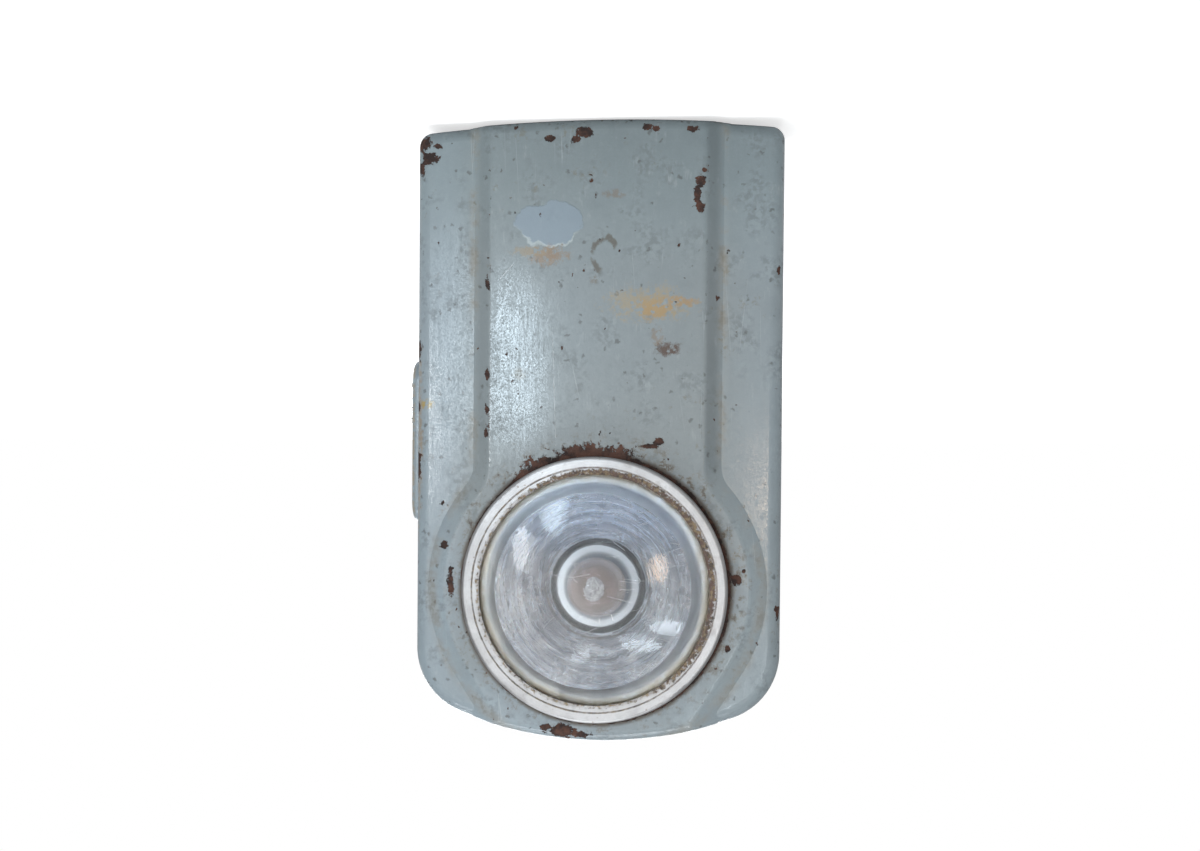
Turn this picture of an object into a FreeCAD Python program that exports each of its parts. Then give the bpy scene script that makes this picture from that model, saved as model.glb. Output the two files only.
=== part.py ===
"""Pocket signal lamp for a flat 4.5 V battery, with a sliding switch and a morse button.

Frame: +Z up towards the lens end, the lamp faces -Y, and the switch is on its +X side.
Every piece is drawn about the middle plane of the case (x = 0) and the middle of the case's
depth (y = 0). One shared Placement then puts the origin at the bottom centre of the lamp.
"""

import FreeCAD, Part
import os
import re
import Sketcher
from FreeCAD import Placement, Rotation, Vector

DOC = FreeCAD.newDocument("SignalLamp")
SHEET = DOC.addObject("Spreadsheet::Sheet", "Sizes")

# Every size in millimetres: its name, its value and what it is.
SIZES = [
    ("case_width", 67.0, "case across its straight sides"),
    ("case_height", 113.2, "base to lens end"),
    ("case_depth", 25.0, "crest of the front's side panels to crest of the back cover"),
    ("shell_sheet", 0.7, "pressed steel of the front shell"),
    ("front_crown", 0.8, "how far the front falls away at the sides"),
    ("front_bend", 2.5, "bend between front and side walls"),
    ("top_corner", 12.8, "corner radius at the lens end"),
    ("top_arch", 74.0, "radius of the lens end"),
    ("base_corner", 2.6, "corner radius at the base"),
    ("base_arch", 360.0, "radius of the base"),
    ("rim_setback", 0.1, "rear edge of the walls in front of the cover's crest"),
    ("panel_rise", 1.3, "height of the raised panel"),
    ("panel_half", 19.7, "middle of the panel to its shoulder"),
    ("flank_run", 2.8, "width of the sloping flank"),
    ("panel_bend", 1.5, "bend at the shoulder"),
    ("panel_edge_bend", 2.0, "bend of the panel over the two ends"),
    ("flare_radius", 27.4, "shoulder of the round part about the lens"),
    ("flare_end", 13.7, "height above the lens axis where the shoulder runs out straight"),
    ("flare_blend", 9.0, "hollow curve between straight and round parts"),
    ("flank_root", 4.6, "foot of the drawn flank behind the panel's crest"),
    ("flank_over", 0.8, "head of the drawn flank in front of the panel's crest"),
    ("flank_ledge", 2.4, "upright ledge at that foot"),
    ("lens_height", 85.3, "lens axis above the base"),
    ("ring_radius", 24.05, "outside of the lens ring"),
    ("ring_wall", 0.9, "skirt of the lens ring"),
    ("ring_height", 3.4, "depth of the lens ring"),
    ("ring_lip", 0.7, "thickness of the lip that holds the lens"),
    ("ring_mouth", 20.8, "radius of the lip's opening"),
    ("ring_step_radius", 22.1, "where the front band steps down"),
    ("ring_step", 0.2, "depth of that step"),
    ("ring_bend", 0.7, "rounding of the ring's front edge"),
    ("ring_gap", 0.25, "skirt above the panel"),
    ("ring_fit", 0.05, "skirt to collar"),
    ("ring_travel", 12.0, "how far the ring is lifted off"),
    ("seat_gap", 0.05, "play between stacked parts"),
    ("rim_gap", 0.2, "lens and reflector inside the skirt"),
    ("lens_sheet", 1.2, "wall of the lens"),
    ("lens_flange", 1.0, "thickness of the lens flange"),
    ("lens_gap", 0.2, "lens wall inside the ring's lip"),
    ("lens_shoulder", 18.9, "radius where the wall turns into the dome"),
    ("lens_stand", 1.8, "that shoulder in front of the ring"),
    ("lens_dome", 1.7, "rise of the dome"),
    ("lens_bend", 0.9, "rounding of the lens shoulder"),
    ("reflector_sheet", 0.4, "sheet of the reflector"),
    ("bowl_mouth", 18.9, "radius of the bowl at its rim"),
    ("bowl_depth", 10.8, "rim to floor"),
    ("bowl_curve", 41.0, "radius of the bowl's profile"),
    ("bowl_floor", 8.7, "radius of the flat floor"),
    ("neck_length", 4.0, "neck behind the floor"),
    ("socket_bore", 4.85, "inside radius of the bulb socket"),
    ("socket_wall", 0.5, "wall of the bulb socket"),
    ("socket_length", 8.0, "length of the bulb socket"),
    ("socket_flange", 8.0, "radius of the socket's flange"),
    ("socket_fit", 0.05, "socket in the reflector's neck"),
    ("cap_radius", 4.75, "outside radius of the bulb's screw cap"),
    ("cap_wall", 0.3, "sheet of the screw cap"),
    ("cap_length", 9.0, "length of the screw cap"),
    ("cap_sink", 0.45, "front edge of the cap behind the reflector's floor"),
    ("globe_radius", 5.5, "glass globe"),
    ("globe_sheet", 0.4, "wall of the globe"),
    ("globe_stand", 3.65, "middle of the globe in front of the reflector's floor"),
    ("neck_fit", 0.05, "glass neck in the cap"),
    ("neck_reach", 2.5, "glass neck inside the cap"),
    ("pip_radius", 0.9, "sealed tip on the globe"),
    ("pip_length", 1.1, "its length"),
    ("stem_radius", 1.2, "inner glass stem"),
    ("bead_radius", 1.7, "bead on the stem"),
    ("stem_length", 4.4, "length of the stem"),
    ("lead_radius", 0.15, "lead wires"),
    ("lead_spread", 2.2, "lead wires from the bulb's axis"),
    ("filament_radius", 0.2, "coiled filament"),
    ("insulator_length", 1.8, "black glass at the cap's end"),
    ("tip_radius", 2.0, "solder tip"),
    ("tip_length", 1.6, "its length"),
    ("lid_sheet", 0.6, "pressed steel of the back cover"),
    ("lid_gap", 0.25, "cover inside the shell's walls"),
    ("lid_depth", 3.4, "depth of the cover's turned-in rim"),
    ("lid_crown", 0.5, "how far the cover falls away at the sides"),
    ("lid_bend", 1.2, "bend between cover and rim"),
    ("pin_radius", 0.5, "hinge pin"),
    ("pin_fit", 0.05, "roll round the pin"),
    ("pin_hold", 0.02, "pin in the shell's walls"),
    ("pin_inset", 0.3, "ends of the pin inside the case width"),
    ("roll_wall", 0.5, "rolled edge of the cover"),
    ("hinge_height", 3.2, "hinge axis above the base"),
    ("roll_clear", 0.25, "ends of the rolled edge to the base corners"),
    ("corner_relief", 2.3, "cover's lower corners above the hinge axis"),
    ("liner_sheet", 0.9, "pressboard liner"),
    ("liner_side", 4.0, "liner inside the case at each side"),
    ("liner_low", 5.0, "lower edge of the liner"),
    ("liner_drop", 9.2, "upper edge of the liner below the lens end"),
    ("liner_corner", 4.0, "corner radius of the liner"),
    ("catch_half", 5.0, "half width of the catch spring"),
    ("catch_sheet", 0.4, "spring steel of the catch"),
    ("catch_front", -3.0, "front end of the catch"),
    ("catch_knee", 4.0, "where the catch steps down"),
    ("catch_slope", 2.5, "length of that step"),
    ("catch_gap", 0.25, "catch under the cover's rim"),
    ("catch_tail", 1.0, "catch's end in front of the cover's sheet"),
    ("catch_rivet_place", 0.5, "catch rivet behind the middle of the case"),
    ("rivet_radius", 0.8, "shank of the rivets"),
    ("rivet_fit", 0.03, "shank in its hole"),
    ("rivet_head", 1.5, "radius of the rivet heads"),
    ("head_height", 0.4, "height of the rivet heads"),
    ("battery_side", 3.0, "battery inside the case at each side"),
    ("battery_thick", 21.0, "flat battery"),
    ("battery_height", 63.0, "carton of the flat battery"),
    ("battery_corner", 4.0, "upright edges of the carton"),
    ("battery_gap", 0.15, "battery to liner"),
    ("battery_lift", 0.6, "battery above the lowest inner corner of the base"),
    ("seal_inset", 0.7, "poured seal inside the carton's outline"),
    ("seal_height", 1.8, "height of the seal"),
    ("strip_sheet", 0.3, "brass of the battery strips"),
    ("strip_width", 6.5, "width of the battery strips"),
    ("strip_over", 3.5, "upright strip beyond the lens axis"),
    ("strip_inset", 8.5, "root of the folded strip from the carton's end"),
    ("strip_shelf", 8.8, "fold of that strip above the seal"),
    ("strip_end", 2.4, "upturned end of that strip"),
    ("contact_gap", 0.1, "open contacts"),
    ("housing_low", 43.0, "lower end of the switch housing"),
    ("housing_length", 30.7, "length of the switch housing"),
    ("housing_width", 12.0, "width of the switch housing"),
    ("housing_height", 2.0, "how far it stands out"),
    ("housing_sheet", 0.5, "its sheet"),
    ("housing_corner", 4.0, "its corner radius"),
    ("housing_bend", 1.0, "its rounded edge"),
    ("knob_stand", 0.6, "slider and button beyond the housing"),
    ("housing_rivet_low", 2.5, "lower rivet above the housing's end"),
    ("housing_rivet_high", 28.2, "upper rivet above the housing's lower end"),
    ("slider_place", 8.0, "slider above the housing's lower end when off"),
    ("slider_travel", 6.5, "slider from off to on"),
    ("slider_play", 0.3, "slider's stem in its slot"),
    ("stem_length_z", 4.0, "slider stem along the slot"),
    ("stem_width", 3.0, "slider stem across the slot"),
    ("foot_length", 7.0, "slider foot"),
    ("foot_width", 7.0, "slider foot"),
    ("foot_gap", 0.3, "foot above the wall"),
    ("foot_height", 0.8, "thickness of the foot"),
    ("knob_length", 8.0, "thumb piece"),
    ("knob_width", 6.8, "thumb piece"),
    ("knob_gap", 0.05, "thumb piece above the housing"),
    ("rib_pitch", 1.3, "ribs of the thumb piece"),
    ("rib_groove", 0.6, "width of the grooves between them"),
    ("rib_depth", 0.3, "depth of the grooves"),
    ("tongue_sheet", 0.25, "brass of the slider's contact"),
    ("tongue_reach", 5.3, "tongue above the slider's middle"),
    ("tongue_side", 3.2, "tongue beside the middle"),
    ("tongue_width", 1.8, "width of the tongue"),
    ("nose_length", 1.0, "nose of the tongue"),
    ("window_play", 0.3, "nose in the wall's window"),
    ("button_place", 23.2, "button above the housing's lower end"),
    ("button_radius", 3.3, "morse button"),
    ("button_play", 0.15, "button in its hole"),
    ("button_dome", 0.45, "rise of the button's dome"),
    ("button_flange", 3.9, "radius of its flange"),
    ("flange_height", 0.5, "thickness of its flange"),
    ("button_travel", 0.8, "press of the button"),
    ("button_pin", 1.1, "radius of the pin"),
    ("button_pin_play", 0.1, "pin in the wall"),
    ("base_sheet", 0.6, "insulating plate"),
    ("base_half", 4.5, "half width of plate and leaf"),
    ("base_low", 25.5, "insulating plate above the housing's lower end"),
    ("base_high", 35.0, "its upper edge above the housing's lower end"),
    ("leaf_sheet", 0.25, "bronze leaf"),
    ("leaf_low", 19.0, "free end of the leaf above the housing's lower end"),
    ("clip_width", 12.0, "belt clip"),
    ("clip_sheet", 0.8, "its spring steel"),
    ("clip_gap", 4.2, "room behind the tongue of the clip"),
    ("clip_drop", 14.2, "where the clip's bend begins, below the lens end"),
    ("clip_foot", 13.0, "length of its riveted foot"),
    ("clip_tongue", 45.0, "length of its tongue to the flare"),
    ("clip_flare", 6.0, "length of the flared end"),
    ("clip_kick", 1.2, "how far that end stands off"),
    ("clip_rivet_top", 3.0, "upper rivet below the bend"),
    ("clip_rivet_pitch", 7.0, "upper rivet to lower rivet"),
]

SHEET.set("A1", "size")
SHEET.set("B1", "mm")
SHEET.set("C1", "what it is")
for row, (alias, value, note) in enumerate(SIZES, start=2):
    SHEET.set(f"A{row}", alias)
    SHEET.set(f"B{row}", str(value))
    SHEET.setAlias(f"B{row}", alias)
    SHEET.set(f"C{row}", note)
DOC.recompute()

ALIASES = {alias for alias, _, _ in SIZES}


def bound(formula):
    """The formula with every size name pointing at its cell."""
    return re.sub(
        r"[a-z_]+", lambda word: f"Sizes.{word[0]}" if word[0] in ALIASES else word[0], str(formula)
    )


def number(formula):
    """The value of a formula at the present sizes."""
    return float(SHEET.evalExpression(bound(formula)))


# Places along the lens axis, counted forwards from the middle of the case (-Y).
FRONT_CREST = "(case_depth / 2)"
PANEL_CREST = f"({FRONT_CREST} + panel_rise)"
PANEL_SHOULDER = f"({PANEL_CREST} - front_crown * (2 * panel_half / case_width)^2)"
RING_BACK = f"({PANEL_CREST} + ring_gap)"
RING_FRONT = f"({RING_BACK} + ring_height)"
LIP_BACK = f"({RING_FRONT} - ring_lip)"
FLANGE_FRONT = f"({LIP_BACK} - seat_gap)"
FLANGE_BACK = f"({FLANGE_FRONT} - lens_flange)"
RIM_FRONT = f"({FLANGE_BACK} - seat_gap)"
RIM_BACK = f"({RIM_FRONT} - reflector_sheet)"
BOWL_FLOOR = f"({RIM_FRONT} - bowl_depth)"
LENS_SHOULDER = f"({RING_FRONT} + lens_stand)"
LENS_CREST = f"({LENS_SHOULDER} + lens_dome)"
GLOBE = f"({BOWL_FLOOR} + globe_stand)"
CAP_FRONT = f"({BOWL_FLOOR} - cap_sink)"
CAP_BACK = f"({CAP_FRONT} - cap_length)"
INSULATOR_BACK = f"({CAP_BACK} - insulator_length)"
TIP_BACK = f"({INSULATOR_BACK} - tip_length)"

# Radii about the lens axis.
SKIRT_BORE = "(ring_radius - ring_wall)"
COLLAR = f"({SKIRT_BORE} - ring_fit)"
COLLAR_BORE = f"({COLLAR} - shell_sheet)"
RIM = f"({SKIRT_BORE} - rim_gap)"
SOCKET = "(socket_bore + socket_wall)"
NECK_BORE = f"({SOCKET} + socket_fit)"
CAP_BORE = "(cap_radius - cap_wall)"
GLASS_NECK = f"({CAP_BORE} - neck_fit)"

# Places behind the middle of the case (+Y).
LID_CREST = "(case_depth / 2)"
WALL_REAR = f"({LID_CREST} - rim_setback)"
LINER_BACK = f"({LID_CREST} - lid_sheet - lid_crown - seat_gap)"
LINER_FRONT = f"({LINER_BACK} - liner_sheet)"
BATTERY_BACK = f"({LINER_FRONT} - battery_gap)"
BATTERY_FRONT = f"({BATTERY_BACK} - battery_thick)"
ROLL = "(pin_radius + pin_fit + roll_wall)"
HINGE_DEPTH = f"({LID_CREST} - {ROLL})"
ROLL_HALF = "(case_width / 2 - base_corner - roll_clear)"

# Heights.
BATTERY_LOW = "(shell_sheet + case_width^2 / (8 * base_arch) + battery_lift)"
BATTERY_HIGH = f"({BATTERY_LOW} + battery_height)"
SEAL_HIGH = f"({BATTERY_HIGH} + seal_height)"
LID_TOP = "(case_height - shell_sheet - lid_gap)"
CLIP_HIGH = "(case_height - clip_drop)"
CLIP_LOW = f"({CLIP_HIGH} - clip_foot)"
CLIP_TIP = f"({CLIP_HIGH} - clip_tongue)"
CLIP_RIVET_HIGH = f"({CLIP_HIGH} - clip_rivet_top)"
CLIP_RIVET_LOW = f"({CLIP_RIVET_HIGH} - clip_rivet_pitch)"

# Places across the switch, counted from the middle of the case (+X).
WALL = "(case_width / 2)"
WALL_INSIDE = f"({WALL} - shell_sheet)"
BATTERY_HALF = f"({WALL} - battery_side)"
LINER_HALF = f"({WALL} - liner_side)"
STRIP_ROOT = f"({BATTERY_HALF} - strip_inset)"
HOUSING_TOP = f"({WALL} + housing_height)"
HOUSING_UNDER = f"({HOUSING_TOP} - housing_sheet)"
KNOB_TOP = f"({HOUSING_TOP} + knob_stand)"
FOOT_LOW = f"({WALL} + foot_gap)"
FOOT_HIGH = f"({FOOT_LOW} + foot_height)"
BASE_INSIDE = f"({WALL_INSIDE} - base_sheet)"
LEAF_INSIDE = f"({BASE_INSIDE} - leaf_sheet)"
PIN_END = f"({BASE_INSIDE} + contact_gap)"
BUTTON_SEAT = f"({HOUSING_UNDER} - seat_gap)"

# Radius of the front's crown and of the cover's crown.
FRONT_CURVE = "((case_width^2 / 4 + front_crown^2) / (2 * front_crown))"
LID_CURVE = "((case_width^2 / 4 + lid_crown^2) / (2 * lid_crown))"


# ---------------------------------------------------------------- drawing helpers


def new_body(name):
    """An empty body."""
    return DOC.addObject("PartDesign::Body", name)


def new_sketch(body, name, plane, away="0", right="0", up="0"):
    """A sketch on one of the body's own planes, its origin moved by three formulas.

    On XZ the sketch looks along +Y and away counts forwards, on YZ it looks along -X and away
    counts towards +X, on XY away counts upwards.
    """
    sketch = body.newObject("Sketcher::SketchObject", name)
    support = [feature for feature in body.Origin.OriginFeatures if feature.Role == f"{plane}_Plane"]
    sketch.AttachmentSupport = [(support[0], "")]
    sketch.MapMode = "FlatFace"
    sketch.setExpression("AttachmentOffset.Base.x", bound(right))
    sketch.setExpression("AttachmentOffset.Base.y", bound(up))
    sketch.setExpression("AttachmentOffset.Base.z", bound(away))
    return sketch


def tie(sketch, constraint, formula):
    """Add a dimension and bind it to a formula."""
    index = sketch.addConstraint(constraint)
    sketch.setExpression(f"Constraints[{index}]", bound(formula))


def arc_through(start, end, radius, side):
    """The short arc from start to end; side +1 bulges to the right of the way there."""
    chord = end - start
    half = chord.Length / 2
    rise = radius - (radius**2 - half**2) ** 0.5
    outward = Vector(chord.y, -chord.x, 0).normalize() * side
    middle = (start + end) * 0.5 + outward * rise
    return Part.Arc(start, middle, end)


def draw_loop(sketch, corners, arcs=None):
    """A closed loop through corners given as pairs of formulas.

    arcs maps the number of a side to (radius formula, side) where it is an arc.
    """
    arcs = arcs or {}
    points = [Vector(number(across), number(along), 0) for across, along in corners]
    count = len(points)
    ends = []
    for side, start in enumerate(points):
        end = points[(side + 1) % count]
        if side in arcs:
            curve = arc_through(start, end, number(arcs[side][0]), arcs[side][1])
        else:
            curve = Part.LineSegment(start, end)
        edge = sketch.addGeometry(curve, False)
        forward = sketch.getPoint(edge, 1).distanceToPoint(start) < 1e-6
        ends.append((edge, 1, 2) if forward else (edge, 2, 1))
    for side in range(count):
        edge, _, last = ends[side]
        following, first, _ = ends[(side + 1) % count]
        sketch.addConstraint(Sketcher.Constraint("Coincident", edge, last, following, first))
    for side, (across, along) in enumerate(corners):
        edge, first, _ = ends[side]
        point = points[side]
        tie(sketch, Sketcher.Constraint("DistanceX", -1, 1, edge, first, point.x), across)
        tie(sketch, Sketcher.Constraint("DistanceY", -1, 1, edge, first, point.y), along)
        if side in arcs:
            radius = arcs[side][0]
            tie(sketch, Sketcher.Constraint("Radius", edge, number(radius)), radius)



def draw_circle(sketch, radius, across="0", along="0"):
    """A circle with its middle at a pair of formulas."""
    middle = Vector(number(across), number(along), 0)
    edge = sketch.addGeometry(Part.Circle(middle, Vector(0, 0, 1), number(radius)), False)
    tie(sketch, Sketcher.Constraint("Radius", edge, number(radius)), radius)
    tie(sketch, Sketcher.Constraint("DistanceX", -1, 1, edge, 3, middle.x), across)
    tie(sketch, Sketcher.Constraint("DistanceY", -1, 1, edge, 3, middle.y), along)


def draw_box(sketch, left, right, low, high):
    """A rectangle between four formulas."""
    draw_loop(sketch, [(left, low), (right, low), (right, high), (left, high)])


def draw_rounded(sketch, left, right, low, high, corner):
    """A rectangle with rounded corners."""
    corners = [
        (f"{left} + {corner}", low),
        (f"{right} - {corner}", low),
        (right, f"{low} + {corner}"),
        (right, f"{high} - {corner}"),
        (f"{right} - {corner}", high),
        (f"{left} + {corner}", high),
        (left, f"{high} - {corner}"),
        (left, f"{low} + {corner}"),
    ]
    draw_loop(sketch, corners, {side: (corner, 1) for side in (1, 3, 5, 7)})


def pad(body, sketch, length, backwards=False):
    """Extrude a sketch along its normal, or against it."""
    feature = body.newObject("PartDesign::Pad", f"{sketch.Name}_pad")
    feature.Profile = sketch
    feature.setExpression("Length", bound(length))
    feature.Reversed = backwards
    DOC.recompute()
    return feature


def pocket(body, sketch, length, backwards=False):
    """Cut a sketch against its normal, or along it, and make sure that it cut something."""
    before = body.Tip.Shape.Volume
    feature = body.newObject("PartDesign::Pocket", f"{sketch.Name}_cut")
    feature.Profile = sketch
    feature.setExpression("Length", bound(length))
    feature.Reversed = backwards
    DOC.recompute()
    if feature.Shape.Volume >= before:
        raise RuntimeError(f"{feature.Name} cuts nothing")
    return feature


def round_edges(body, name, radius, wanted):
    """Round the edges of the body's last feature that a test picks."""
    base = body.Tip
    names = []
    for index, edge in enumerate(base.Shape.Edges, start=1):
        if not edge.Degenerated and wanted(edge):
            names.append(f"Edge{index}")
    if not names:
        raise RuntimeError(f"{name} finds no edge")
    feature = body.newObject("PartDesign::Fillet", name)
    feature.Base = (base, names)
    feature.setExpression("Radius", bound(radius))
    DOC.recompute()
    return feature


def samples(edge):
    """Five points along an edge."""
    first, last = edge.ParameterRange
    return [edge.valueAt(first + (last - first) * step / 4) for step in range(5)]


def ring_edge(place, radius):
    """A test for the circle of one radius about the lens axis at one place along Y."""
    place = number(place)
    radius = number(radius)
    height = number("lens_height")

    def test(edge):
        for point in samples(edge):
            from_axis = (point.x**2 + (point.z - height) ** 2) ** 0.5
            if abs(point.y - place) > 1e-4 or abs(from_axis - radius) > 1e-4:
                return False
        return True

    return test


def turned_about_lens(name, corners, arcs=None):
    """A body turned about the lens axis from (forward place, radius) corners."""
    body = new_body(name)
    sketch = new_sketch(body, f"{name}_profile", "YZ", up="lens_height")
    profile = [(f"-({forward})", radius) for forward, radius in corners]
    draw_loop(sketch, profile, arcs)
    turn(body, sketch)
    return body


def turned_about_switch(name, height, corners, arcs=None):
    """A body turned about an axis across the case, from (place along X, radius) corners."""
    body = new_body(name)
    sketch = new_sketch(body, f"{name}_profile", "XZ", up=height)
    draw_loop(sketch, corners, arcs)
    turn(body, sketch)
    return body


def turn(body, sketch):
    """Turn a sketch about its own horizontal axis."""
    feature = body.newObject("PartDesign::Revolution", f"{sketch.Name}_turn")
    feature.Profile = sketch
    feature.ReferenceAxis = (sketch, ["H_Axis"])
    feature.Angle = 360
    DOC.recompute()
    return feature


def part_object(kind, name, **links):
    """A Part workbench object with its links set."""
    result = DOC.addObject(f"Part::{kind}", name)
    for key, value in links.items():
        setattr(result, key, value)
    DOC.recompute()
    return result


def cylinder(name, radius, length, place, turned):
    """A cylinder bound to formulas, its foot at three formulas, turned from +Z by a rotation."""
    result = DOC.addObject("Part::Cylinder", name)
    result.Placement = Placement(Vector(), turned)
    result.setExpression("Radius", bound(radius))
    result.setExpression("Height", bound(length))
    for letter, formula in zip("xyz", place):
        result.setExpression(f"Placement.Base.{letter}", bound(formula))
    return result


def box(name, low, high):
    """A box between two corners given as formulas."""
    result = DOC.addObject("Part::Box", name)
    for side, first, last in zip(("Length", "Width", "Height"), low, high):
        result.setExpression(side, bound(f"({last}) - ({first})"))
    for letter, formula in zip("xyz", low):
        result.setExpression(f"Placement.Base.{letter}", bound(formula))
    return result


FORWARD = Rotation(Vector(1, 0, 0), 90)
ACROSS = Rotation(Vector(0, 1, 0), 90)
SUB_PARTS = []


def finish(result, label):
    """Name a sub-part and move it to the lamp's own origin with the others."""
    result.Label = label
    result.setExpression("Placement.Base.x", bound(f"-({KNOB_TOP} - {WALL}) / 2"))
    result.setExpression("Placement.Base.y", bound(f"({LENS_CREST} - {CLIP_REACH}) / 2"))
    SUB_PARTS.append(result)


# ---------------------------------------------------------------- front shell

# The shell is a shallow pressed tray. Its outside and its hollow are drawn alike, the hollow one
# sheet further in: a low block for the side panels, and a higher block that only stands where
# the keyhole-shaped panel is, which runs up from the base and flares round the lens.


def draw_case_outline(sketch, inset):
    """The case seen from the front, moved inwards by a formula."""
    side = number(f"case_width / 2 - {inset}")
    corner = number(f"top_corner - {inset}")
    arch = number(f"top_arch - {inset}")
    foot = number(f"base_corner - {inset}")
    base = number(f"base_arch - {inset}")
    arch_middle = number("case_height - top_arch")
    base_middle = number("base_arch")
    corner_middle = Vector(side - corner, 0, 0)
    corner_middle.y = arch_middle + ((arch - corner) ** 2 - corner_middle.x**2) ** 0.5
    foot_middle = Vector(side - foot, 0, 0)
    foot_middle.y = base_middle - ((base - foot) ** 2 - foot_middle.x**2) ** 0.5
    top = (corner_middle - Vector(0, arch_middle, 0)).normalize() * arch + Vector(0, arch_middle, 0)
    bottom = (foot_middle - Vector(0, base_middle, 0)).normalize() * base
    bottom += Vector(0, base_middle, 0)

    def mirrored(point):
        return Vector(-point.x, point.y, 0)

    def corner_arc(first, middle, last, radius):
        halfway = middle + ((first + last) * 0.5 - middle).normalize() * radius
        return Part.Arc(first, halfway, last)

    low = Vector(side, foot_middle.y, 0)
    high = Vector(side, corner_middle.y, 0)
    curves = [
        Part.Arc(mirrored(bottom), Vector(0, base_middle - base, 0), bottom),
        corner_arc(bottom, foot_middle, low, foot),
        Part.LineSegment(low, high),
        corner_arc(high, corner_middle, top, corner),
        Part.Arc(top, Vector(0, arch_middle + arch, 0), mirrored(top)),
        corner_arc(mirrored(top), mirrored(corner_middle), mirrored(high), corner),
        Part.LineSegment(mirrored(high), mirrored(low)),
        corner_arc(mirrored(low), mirrored(foot_middle), mirrored(bottom), foot),
    ]
    first = sketch.addGeometry(curves[0], False)
    for curve in curves[1:]:
        sketch.addGeometry(curve, False)
    for edge in range(8):
        following = (edge + 1) % 8
        sketch.addConstraint(Sketcher.Constraint("Tangent", first + edge, 2, first + following, 1))
    tie(sketch, Sketcher.Constraint("DistanceX", -1, 1, 2, 1, side), f"case_width / 2 - {inset}")
    tie(sketch, Sketcher.Constraint("DistanceX", 6, 1, -1, 1, side), f"case_width / 2 - {inset}")
    sketch.addConstraint(Sketcher.Constraint("Vertical", 2))
    sketch.addConstraint(Sketcher.Constraint("Vertical", 6))
    sketch.addConstraint(Sketcher.Constraint("PointOnObject", 0, 3, -2))
    sketch.addConstraint(Sketcher.Constraint("PointOnObject", 4, 3, -2))
    tie(sketch, Sketcher.Constraint("DistanceY", -1, 1, 0, 3, base_middle), "base_arch")
    tie(
        sketch,
        Sketcher.Constraint("DistanceY", -1, 1, 4, 3, arch_middle),
        "case_height - top_arch",
    )
    tie(sketch, Sketcher.Constraint("Radius", 0, base), f"base_arch - {inset}")
    tie(sketch, Sketcher.Constraint("Radius", 4, arch), f"top_arch - {inset}")
    for edge, radius, formula in (
        (1, foot, "base_corner"),
        (7, foot, "base_corner"),
        (3, corner, "top_corner"),
        (5, corner, "top_corner"),
    ):
        tie(sketch, Sketcher.Constraint("Radius", edge, radius), f"{formula} - {inset}")


def crown_test(crest, curve):
    """A test for edges that lie on a crowned front with its crest at a forward place."""
    crest = number(crest)
    curve = number(curve)

    def test(edge):
        for point in samples(edge):
            depth = -crest + curve - (curve**2 - point.x**2) ** 0.5
            if abs(point.y - depth) > 1e-3:
                return False
        return True

    return test


def cut_crown(body, name, crest, curve):
    """Shape the front of a body to a crown about an upright axis."""
    sketch = new_sketch(body, name, "XY", away="-2 * case_width")
    reach = "case_width"
    edge = f"(-({crest}) + {curve} - sqrt({curve}^2 - {reach}^2))"
    draw_loop(
        sketch,
        [(f"-{reach}", edge), (reach, edge), (reach, f"-({crest}) - 9"), (f"-{reach}", f"-({crest}) - 9")],
        {0: (curve, 1)},
    )
    pocket(body, sketch, "4 * case_height", backwards=True)


def front_block(name, inset, rise, bend, rear):
    """The case outline as a block with a crowned and rounded front."""
    crest = f"({FRONT_CREST} + {rise} - {inset})"
    curve = f"({FRONT_CURVE} + {rise} - {inset})"
    body = new_body(name)
    sketch = new_sketch(body, f"{name}_outline", "XZ", away=crest)
    draw_case_outline(sketch, inset)
    pad(body, sketch, f"{crest} + {rear}", backwards=True)
    cut_crown(body, f"{name}_crown", crest, curve)
    round_edges(body, f"{name}_bend", f"{bend} - {inset}", crown_test(crest, curve))
    return body


def draw_keyhole(sketch, grow):
    """The raised panel seen from the front, widened by a formula."""
    half = f"(panel_half + {grow})"
    flare = f"(flare_radius + {grow})"
    blend = f"(flare_blend - {grow})"
    neck = f"(lens_height - sqrt(({flare} + {blend})^2 - ({half} + {blend})^2))"
    share = f"({flare} / ({flare} + {blend}))"
    touch_across = f"(({half} + {blend}) * {share})"
    touch_along = f"(lens_height + ({neck} - lens_height) * {share})"
    turn_up = "(flare_end / flare_radius)"
    turn_across = f"sqrt(1 - {turn_up}^2)"
    leave_across = f"({flare} * {turn_across})"
    leave_along = f"(lens_height + {flare} * {turn_up})"
    end_along = "(case_height + base_corner)"
    end_across = f"({leave_across} - ({end_along} - {leave_along}) * {turn_up} / {turn_across})"
    draw_loop(
        sketch,
        [
            (f"-{half}", "-base_corner"),
            (half, "-base_corner"),
            (half, neck),
            (touch_across, touch_along),
            (leave_across, leave_along),
            (end_across, end_along),
            (f"-{end_across}", end_along),
            (f"-{leave_across}", leave_along),
            (f"-{touch_across}", touch_along),
            (f"-{half}", neck),
        ],
        {2: (blend, -1), 3: (flare, 1), 7: (flare, 1), 8: (blend, -1)},
    )


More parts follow.
